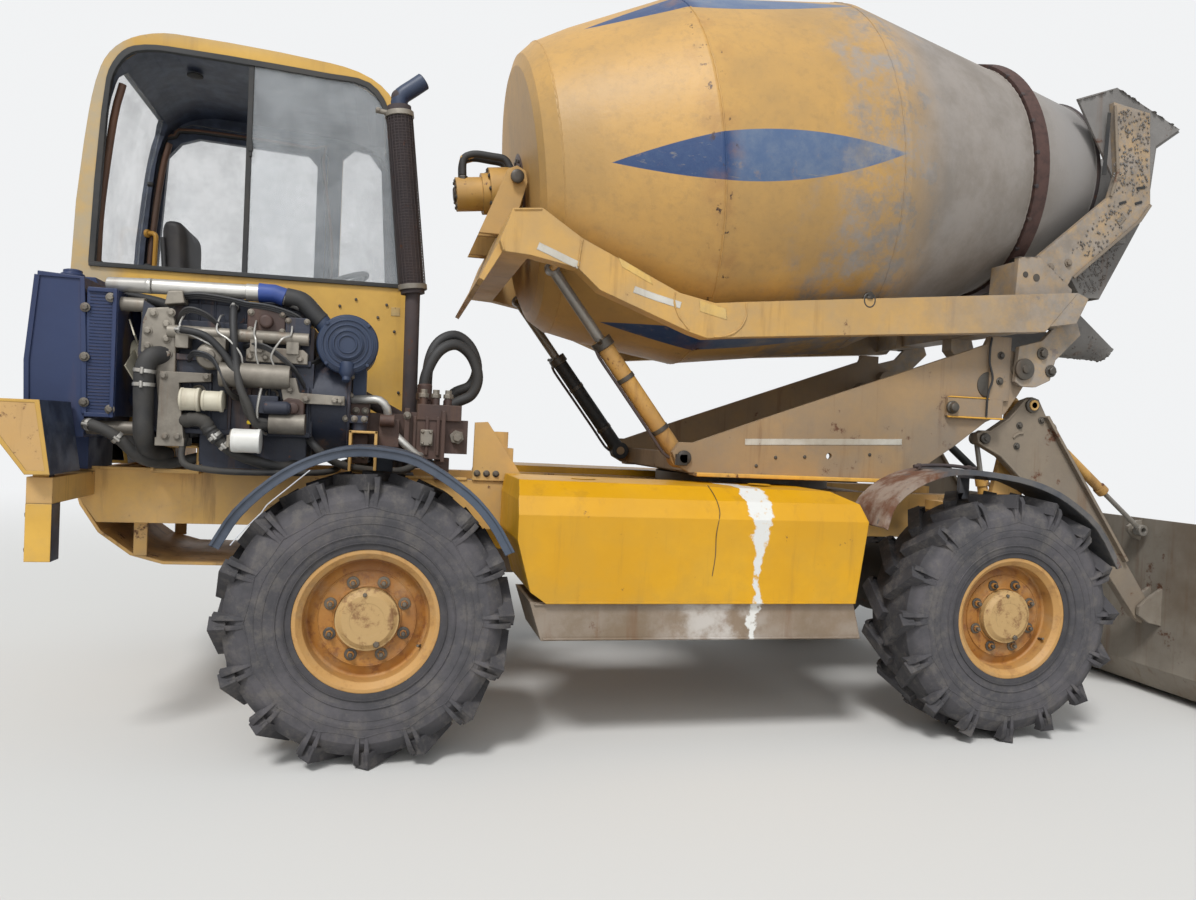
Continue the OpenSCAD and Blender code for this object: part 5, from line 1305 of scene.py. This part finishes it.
def driveTrim(part):
    hoses, bolts, studs = newForm(), newForm(), newForm()
    for s in (-1, 1):
        path = [(-962, s * 30, 2345), (-964, s * 30, 2400), (-957, s * 30, 2428), (-935, s * 31, 2442),
                (-900, s * 32, 2450), (-835, s * 34, 2447), (-772, s * 36, 2440), (-745, s * 38, 2405),
                (-732, s * 40, 2384)]
        addHose(hoses, path, part["hose"], 14, 0.01)
        addTurned(bolts, at(-960, s * 30, 2318), up, [(0, 0.022), (0.022, 0.022), (0.026, 0.018)], 6)
    for count, shift, along, circle, size in part["boltCircles"]:
        for k in range(count):
            middle, outwards = aroundDrum(along, (k + shift) / count)
            addBolt(bolts, middle + outwards * circle, -drumAxis, size)
    addTurned(bolts, drumForm["foot"] + drumAxis * -0.322, -drumAxis,
              [(0, 0.035), (0.006, 0.035), (0.01, 0.028)], 24)
    for s in (-1, 1):
        addTurned(bolts, at(-744, s * 322, 2285), Vector((0, s, 0)),
                  [(0, 0.03), (0.01, 0.03), (0.014, 0.024), (0.014, 0.01)], 24)
    makePiece("motorHoses", hoses, "tilter", hoseRubber)
    makePiece("driveBolts", bolts, "tilter", greasySteel)
    for k in range(part["studs"]):
        middle, outwards = aroundDrum(-0.021, k / part["studs"])
        addBolt(studs, middle + outwards * part["studCircle"], -drumAxis, part["stud"], False)
    makePiece("flangeStuds", studs, "mixer", greasySteel)


driveTrim(driveForm)


# beads: along the axis, radius, bead's size
drumBeads = {"blocks": 24, "blockAt": 2.366, "blockFoot": 0.585, "mouthAt": 2.8755,
             "beads": ((0.693, 0.8518, 0.0042), (1.502, 0.8518, 0.0035), (0.066, 0.6605, 0.004),
                       (2.352, 0.577, 0.005), (2.44, 0.5525, 0.005))}


def drumTrim(part):
    # weld beads round the shell and the track ring's edges
    form, ring = newForm(), newForm()
    for along, r, size in part["beads"]:
        path = []
        for k in range(241):
            wave = 0.0012 * math.sin(k * 2.3) + 0.0008 * math.sin(k * 0.9)
            middle, outwards = aroundDrum(along + wave, k / 240)
            path.append(middle + outwards * r)
        addTube(form, path, lambda t, size=size: size * (1 + 0.25 * math.sin(t * 900)), 8)
    makePiece("drumWelds", form, "mixer", drumPaint, angle=60)
    for k in range(part["blocks"]):
        middle, outwards = aroundDrum(part["blockAt"], k / part["blocks"])
        addTurned(ring, middle + outwards * part["blockFoot"], outwards,
                  [(0, 0.011), (0.0125, 0.011), (0.014, 0.008)], 6)
    r = drumForm["mouthRadius"] + 0.012
    profile = [(-0.010, r - 0.006), (-0.008, r + 0.002), (0.012, r + 0.002), (0.013, r - 0.008)]
    addTurned(ring, drumForm["foot"] + drumAxis * part["mouthAt"], drumAxis, profile, 72, True)
    makePiece("trackRingBlocks", ring, "mixer", stackBrown)


drumTrim(drumBeads)
print("stage: hopper, chute and loader")


# levels: share of the lump's height, share of its radius
crustForm = {"sides": 7, "low": 0.35, "rise": 0.55, "levels": ((-0.001, 1.0), (0.25, 0.85), (0.42, 0.45))}


def uneven():
    return 0.7 + 0.5 * random.random()


def addCrust(form, corners, count, size, out):
    # dried cement: low lumps scattered over a flat patch
    a, b, c, d = (Vector(p) for p in corners)
    for _ in range(count):
        u, v = random.random(), random.random()
        spot = (a * (1 - u) + b * u) * (1 - v) + (d * (1 - u) + c * u) * v
        along = (b - a).normalized()
        across = out.cross(along).normalized()
        r = size * (crustForm["low"] + random.random())
        n = crustForm["sides"]
        start = random.random() * 6
        rings = []
        for level, shrink in crustForm["levels"]:
            ring = []
            for k in range(n):
                turn = start + 2 * math.pi * k / n
                reach = along * math.cos(turn) * uneven() + across * math.sin(turn) * uneven()
                ring.append(spot + out * (level * r * crustForm["rise"]) + reach * r * shrink)
            rings.append(ring)
        faces = [(k, (k + 1) % n, n + (k + 1) % n, n + k) for k in range(n)]
        faces += [(n + k, n + (k + 1) % n, 2 * n + (k + 1) % n, 2 * n + k) for k in range(n)]
        faces += [tuple(range(2 * n, 3 * n)), tuple(range(n - 1, -1, -1))]
        addFaces(form, [p for ring in rings for p in ring], faces)


# places along Y of the flat things on the arm's near face
hopperForm = {"gapShadeAt": (-499.5, -497), "stripAt": (-505, -497), "patchAt": (-499, -497)}


def hopperTrim(part):
    crust, steel, patch = newForm(), newForm(), newForm()
    # lumps on the arms, the roller boxes and the hopper's plates
    for y, out in ((-498.5, near), (498.5, -near)):
        addCrust(crust, spots([(2190, y, 2480), (2400, y, 2480), (2390, y, 2890), (2200, y, 2900)]), 260,
                 0.0055, out)
        addCrust(crust, spots([(1950, y, 2150), (2150, y, 2150), (2330, y, 2400), (2200, y, 2440)]), 120,
                 0.005, out)
    for s in (-1, 1):
        addCrust(crust, spots([(1600, s * 600, 2089), (1714, s * 600, 2099), (1714, s * 572, 2099),
                               (1600, s * 572, 2089)]), 70, 0.008, up)
        addCrust(crust, spots([(1720, s * 600, 2093), (1890, s * 600, 1967), (1890, s * 572, 1967),
                               (1720, s * 572, 2093)]), 70, 0.007, Vector((0.6, 0, 0.8)))
    addCrust(crust, spots([(2000, -468, 2920), (2210, -468, 3000), (2210, -456, 3000), (2000, -456, 2920)]),
             26, 0.012, up)
    addCrust(crust, spots([(2230, -468, 3000), (2600, -468, 2850), (2600, -456, 2850), (2230, -456, 3000)]),
             34, 0.012, up)
    addCrust(crust, spots([(2090, -381, 2130), (2440, -381, 2390), (2250, -381, 2010), (2150, -381, 1990)]),
             200, 0.006, near)
    makePiece("cementCrust", crust, "tilter", cementGrey, angle=50)
    # painted shade: thin dark plates stand for the see-through gap between the hopper and its arm and for
    # three small slots; then edge strips and bolts
    addSlab(steel, [(2128, 2560), (2141, 2867), (2160, 2867), (2150, 2560)], *part["gapShadeAt"])
    for x, z in ((2236, 2434), (2330, 2443)):
        addSlab(steel, [(x, z), (x + 40, z + 14), (x + 44, z + 2), (x + 4, z - 12)], *part["gapShadeAt"])
    addSlab(steel, [(2335, 2519), (2385, 2532), (2388, 2520), (2338, 2507)], *part["gapShadeAt"])
    makePiece("hopperGapShade", steel, "tilter", sealRubber)
    addStrip(patch, [(2183, 2458), (2217, 2575), (2180, 2905)], 7, *part["stripAt"])
    addStrip(patch, [(1992, 2040), (2180, 2200), (2364, 2355), (2422, 2440)], 7, *part["stripAt"])
    addSlab(patch, [(2225, 2345), (2262, 2378), (2285, 2360), (2248, 2318)], *part["patchAt"])
    addBolts(patch, ((1850, 1950), (1935, 1990), (1860, 2080), (1960, 2110)), -497, 0.014)
    makePiece("armEdges", patch, "tilter", armTan, 0.002)
    pins = newForm()
    for s in (-1, 1):
        out = Vector((0, s, 0))
        addTurned(pins, at(1640, s * 600, 2010), out,
                  [(0, 0.014), (0.002, 0.014), (0.002, 0.009), (0.0021, 0.004)], 20)
        addTurned(pins, at(1700, s * 600, 2000), out,
                  [(0, 0.018), (0.002, 0.018), (0.002, 0.012), (0.0021, 0.004)], 20)
        addTurned(pins, at(1762, s * 635, 1783), out,
                  [(-0.01, 0.03), (0.006, 0.03), (0.01, 0.022), (0.022, 0.02), (0.026, 0.012)], 24)
    makePiece("rollerBoxPins", pins, "tilter", greasySteel)
    belt = newForm()
    addBolts(belt, ((1725, 1640), (1775, 1560)), -636, 0.02)
    makePiece("hingeBolts", belt, "tilter", greasySteel)


hopperTrim(hopperForm)


# rims: distance along the bell, radius, the rim's size
chuteForm = {"foot": (2200, 0, 1950), "slope": 22, "length": 0.478, "wide": 0.255, "narrow": 0.07,
             "lumps": 120, "lumpSize": 0.008, "rims": ((0.0, 0.249, 0.011), (0.478, 0.064, 0.008))}


def chuteTrim(part):
    # crusted rims at both ends of the half bell, and lumps inside it
    rim, crust = newForm(), newForm()
    slope = math.radians(part["slope"])
    along = Vector((math.cos(slope), 0, -math.sin(slope)))
    down = Vector((-math.sin(slope), 0, -math.cos(slope)))
    foot = at(*part["foot"])
    for reach, r, size in part["rims"]:
        path = []
        for k in range(41):
            a = math.pi * k / 40
            wave = 0.004 * math.sin(k * 1.7) + 0.003 * math.sin(k * 3.1)
            path.append(foot + along * (reach + 0.002) + (down * math.sin(a) + Vector((0, math.cos(a), 0)))
                        * (r + wave))
        addTube(rim, path, lambda t, size=size: size * (1 + 0.35 * math.sin(t * 70) * math.sin(t * 31)), 10)
    for _ in range(part["lumps"]):
        t, a = random.random(), math.pi * (0.06 + 0.88 * random.random())
        r = part["wide"] + (part["narrow"] - part["wide"]) * t
        radial = down * math.sin(a) + Vector((0, math.cos(a), 0))
        spot = foot + along * part["length"] * t + radial * r
        addCrust(crust, [spot, spot + along * 0.004, spot + along * 0.004, spot], 1, part["lumpSize"],
                 radial)
    makePiece("chuteRim", rim, "chute_body", cementGrey, angle=60)
    makePiece("chuteCrust", crust, "chute_body", cementGrey, angle=50)


chuteTrim(chuteForm)


# pins: place in X and Z, radius
loaderForm = {"armAt": (536, 542), "pinAt": 538, "bolt": 0.012,
              "bolts": ((1700, 1300), (1820, 1330), (1690, 1200)),
              "pins": ((1762, 1400, 0.036), (2470, 400, 0.032), (1511, 1229, 0.026))}


def loaderTrim(part):
    strips, pins = newForm(), newForm()
    for s in (-1, 1):
        y0, y1 = sorted(s * y for y in part["armAt"])
        addStrip(strips, [(1490, 1262), (1540, 1262), (1640, 1328), (1722, 1418), (1762, 1434),
                          (1796, 1424)], 5, y0, y1)
        addStrip(strips, [(1480, 1212), (1513, 1194), (1604, 1152), (2238, 607), (2424, 377)], 5, y0, y1)
        out = Vector((0, s, 0))
        for x, z, r in part["pins"]:
            addTurned(pins, at(x, s * part["pinAt"], z), out, [
                (0, r), (0.012, r), (0.016, r * 0.8), (0.016, r * 0.4), (0.022, r * 0.4)], 26)
        for x, z in part["bolts"]:
            addBolt(pins, at(x, s * part["pinAt"], z), out, part["bolt"])
        addTube(strips, spots([(1668, s * 539, 1238), (1680, s * 541, 1252), (1700, s * 541, 1262),
                               (1722, s * 539, 1262)]), 0.006, 8)
    makePiece("armStrips", strips, "arms", armTan, 0.001)
    makePiece("armPins", pins, "arms", greasySteel)


loaderTrim(loaderForm)
print("stage: cab")


# loops round the far window: tube's radius, place along Y, share of the outline
cabForm = {"middle": (-2100, 2220), "loops": ((0.011, 956, 0.985), (0.008, 950, 1.0)), "posts": (925, 78),
           "post": 0.016, "grab": 0.012, "handle": 0.008, "lamp": (-2200, 300, 2768),
           "plateAt": (-11.5, -10)}


def cabTrim(part):
    seal, handle, lining, bolts = newForm(), newForm(), newForm(), newForm()
    light = [(-2540, 1772), (-2540, 2060), (-2496, 2590), (-2430, 2664), (-2340, 2702), (-1715, 2676),
             (-1664, 2620), (-1664, 1772)]
    loop = [at(x, 952, z) for x, z in light]
    for r, y, shrink in part["loops"]:
        middle = at(part["middle"][0], y, part["middle"][1])
        path = [middle + (Vector((p.x, at(0, y, 0).y, p.z)) - middle) * shrink for p in loop]
        addTube(seal if r > 0.01 else lining, smoothPath(path + [path[0]], 0.03), r, 10)
    # lining posts by the rear window, its lower seal and two stops
    for y in part["posts"]:
        addHose(lining, [(-2524, y, 1790), (-2516, y, 2065), (-2478, y, 2451), (-2446, y, 2610)],
                part["post"], 10, 0.05)
    addHose(seal, [(-2536, 100, 1838), (-2536, 495, 1834), (-2536, 890, 1838)], 0.010, 8, 0.05)
    for z in (1950, 2380):
        addTurned(seal, at(-2520, 905, z), right, [(-0.02, 0.014), (0.0, 0.014), (0.008, 0.009)], 12)
    grab = [(-2535, 905, 2120), (-2505, 890, 2122), (-2488, 880, 2112), (-2484, 876, 2090),
            (-2486, 876, 2000), (-2488, 876, 1940), (-2498, 884, 1925), (-2530, 905, 1922)]
    addHose(handle, grab, part["grab"], 14, 0.012)
    for x, z in ((-2532, 2121), (-2530, 1922)):
        addTurned(handle, at(x, 905, z), (1, -0.3, 0), [(-0.01, 0.022), (0.006, 0.022), (0.01, 0.014)], 18)
    # sliding pane's latch, channel and the blank plate on the panel below
    addBlock(seal, -1899, -1889, -24, -8, 2330, 2400)
    addBlock(seal, -1902, -1886, -26, -10, 2352, 2376)
    addStrip(seal, [(-2528, 1800), (-1214, 1807)], 7, -22, -12)
    addBolts(bolts, ((-1283, 1720), (-1320, 1660), (-1244, 1600), (-1420, 1735), (-1215, 1320),
                     (-1490, 1700)), -10, 0.007, False)
    plate = newForm()
    addSlab(plate, [(-1262, 1712), (-1262, 1672), (-1222, 1672), (-1222, 1712)], *part["plateAt"])
    # handle at the door and the roof lamp
    addHose(handle, [(-1790, 1002, 1640), (-1790, 1020, 1645), (-1790, 1023, 1700), (-1790, 1020, 1755),
                     (-1790, 1002, 1760)], part["handle"], 10, 0.01)
    addTurned(seal, at(*part["lamp"]), (0, 0, -1), [(0, 0.035), (0.008, 0.035), (0.014, 0.02)], 22)
    makePiece("cabSeals", seal, "chassis", sealRubber, angle=50)
    makePiece("cabLining", lining, "chassis", liningBrown, angle=50)
    makePiece("grabHandle", handle, "chassis", grabYellow, angle=50)
    makePiece("cabBolts", bolts, "chassis", greasySteel)
    makePiece("panelPlate", plate, "chassis", labelCream)


liningBrown = coated("liningBrown", 0.6, 0.1, 60, "#6e4a34", "#4d3830", 0.4, rust=0, streaks=0.2, chips=0.2,
                     low=1.6, high=2.4)
grabYellow = coated("grabYellow", 0.45, 0.05, 60, "#d39b2c", "#b5842a", 0.2, rust=0.2, streaks=0, chips=0.4)
cabTrim(cabForm)
seatForm = {"cushion": (-2225, -1775, 275, 725, 1436, 1532), "backFoot": (-2238, 1520),
            "backTop": (-2276, 2095), "backThick": 84, "backSides": (285, 715), "pressure": 4.0,
            "cap": 0.014, "grid": 0.016, "roundShare": 0.32, "stuffFrames": 20}


def softBlock(name, corner, along, across, above):
    # rounded block on a fine grid, from one corner and its three sides
    work = bmesh.new()
    bmesh.ops.create_cube(work, size=1.0)
    bmesh.ops.subdivide_edges(work, edges=work.edges, cuts=1, use_grid_fill=True)
    for v in work.verts:
        u = v.co + Vector((0.5, 0.5, 0.5))
        v.co = corner + along * u.x + across * u.y + above * u.z
    mesh = bpy.data.meshes.new(name)
    work.to_mesh(mesh)
    work.free()
    obj = bpy.data.objects.new(name, mesh)
    bpy.context.scene.collection.objects.link(obj)
    bevel = obj.modifiers.new("round", "BEVEL")
    bevel.width = min(along.length, across.length, above.length) * seatForm["roundShare"]
    bevel.segments = 4
    remesh = obj.modifiers.new("grid", "REMESH")
    remesh.mode = "VOXEL"
    remesh.voxel_size = seatForm["grid"]
    applied = bpy.data.meshes.new_from_object(obj.evaluated_get(bpy.context.evaluated_depsgraph_get()))
    obj.modifiers.clear()
    obj.data = applied
    obj.data.name = name
    return obj


def stuff(obj, part):
    # blown up like a stitched cover, no point further than the cap
    start = [v.co.copy() for v in obj.data.vertices]
    cloth = obj.modifiers.new("stuffing", "CLOTH")
    cloth.settings.use_pressure = True
    cloth.settings.uniform_pressure_force = part["pressure"]
    cloth.settings.effector_weights.gravity = 0
    for frameNumber in range(1, part["stuffFrames"] + 1):
        bpy.context.scene.frame_set(frameNumber)
    ended = [v.co.copy() for v in obj.evaluated_get(bpy.context.evaluated_depsgraph_get()).data.vertices]
    obj.modifiers.remove(cloth)
    bpy.context.scene.frame_set(1)
    for v, a, b in zip(obj.data.vertices, start, ended):
        move = b - a
        v.co = a + (move * (part["cap"] / move.length) if move.length > part["cap"] else move)


def makeSeat(part):
    x0, x1, y0, y1, z0, z1 = part["cushion"]
    corner = at(x0, y0, z0)
    sides = [at(*p) - corner for p in ((x1, y0, z0), (x0, y1, z0), (x0, y0, z1))]
    cushion = softBlock("seatCushion", corner, *sides)
    (bx, bz), (tx, tz) = part["backFoot"], part["backTop"]
    s0, s1 = part["backSides"]
    foot = at(bx - part["backThick"] / 2, s0, bz)
    sides = [Vector((part["backThick"] / 1000, 0, 0)), Vector((0, (s1 - s0) / 1000, 0)),
             at(tx, 0, tz) - at(bx, 0, bz)]
    back = softBlock("seatBack", foot, *sides)
    for obj in (cushion, back):
        stuff(obj, part)
        smooth = obj.modifiers.new("rounding", "SUBSURF")
        smooth.levels = smooth.render_levels = 1
        obj.data.shade_smooth()
        obj.data.materials.clear()
        obj.data.materials.append(seatVinyl)
        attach(obj, "chassis")
    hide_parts("cab_seat")
    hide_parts("cab_seat")
    # pedestal, side rails and the back's frame
    base = newForm()
    addSlab(base, [(-2200, 1148), (-2180, 1380), (-2150, 1420), (-1900, 1420), (-1870, 1380),
                   (-1850, 1148)], 330, 670)
    for y in (300, 690):
        addBlock(base, -2215, -1790, y, y + 14, 1408, 1440)
        addTube(base, spots([(-2215, y + 7, 1425), (-2262, y + 7, 1470), (-2285, y + 7, 1600),
                             (-2318, y + 7, 2000)]), 0.012, 10)
    pedestal = makePiece("seatPedestal", base, "chassis", wheelPlastic, 0.006)
    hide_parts("cab_seat")


makeSeat(seatForm)

print("stage: floor")
floorForm = {"side": 40, "back": 60, "tone": "#cfcecb", "roughness": 0.9, "fadeStart": 4.5, "fadeEnd": 13}
floorMesh = bpy.data.meshes.new("floor")
corners = [(sign * floorForm["side"], y, 0) for y in (-floorForm["side"], floorForm["back"])
           for sign in (-1, 1)]
floorMesh.from_pydata(corners, [], [(0, 1, 3, 2)])
floor = bpy.data.objects.new("floor", floorMesh)
bpy.context.scene.collection.objects.link(floor)
paleFloor = finish("paleFloor", hexColour(floorForm["tone"]), floorForm["roughness"], 0.02, 20)
floor.data.materials.append(paleFloor)


def fadeFloor(mat, start, end):
    # far from the machine the floor turns into the backdrop, so no edge shows
    tree = mat.node_tree
    shader, out = tree.nodes["Principled BSDF"], tree.nodes["Material Output"]
    far = addNode(tree, "VectorMath", {0: place(tree)}, operation="LENGTH").outputs["Value"]
    glow = addNode(tree, "Emission", backdrop)
    faded = times(tree, between(tree, far, start, end), showsBackdrop(tree))
    mix = addNode(tree, "MixShader", {0: faded, 1: shader.outputs[0], 2: glow.outputs[0]})
    tree.links.new(mix.outputs[0], out.inputs["Surface"])


fadeFloor(paleFloor, floorForm["fadeStart"], floorForm["fadeEnd"])
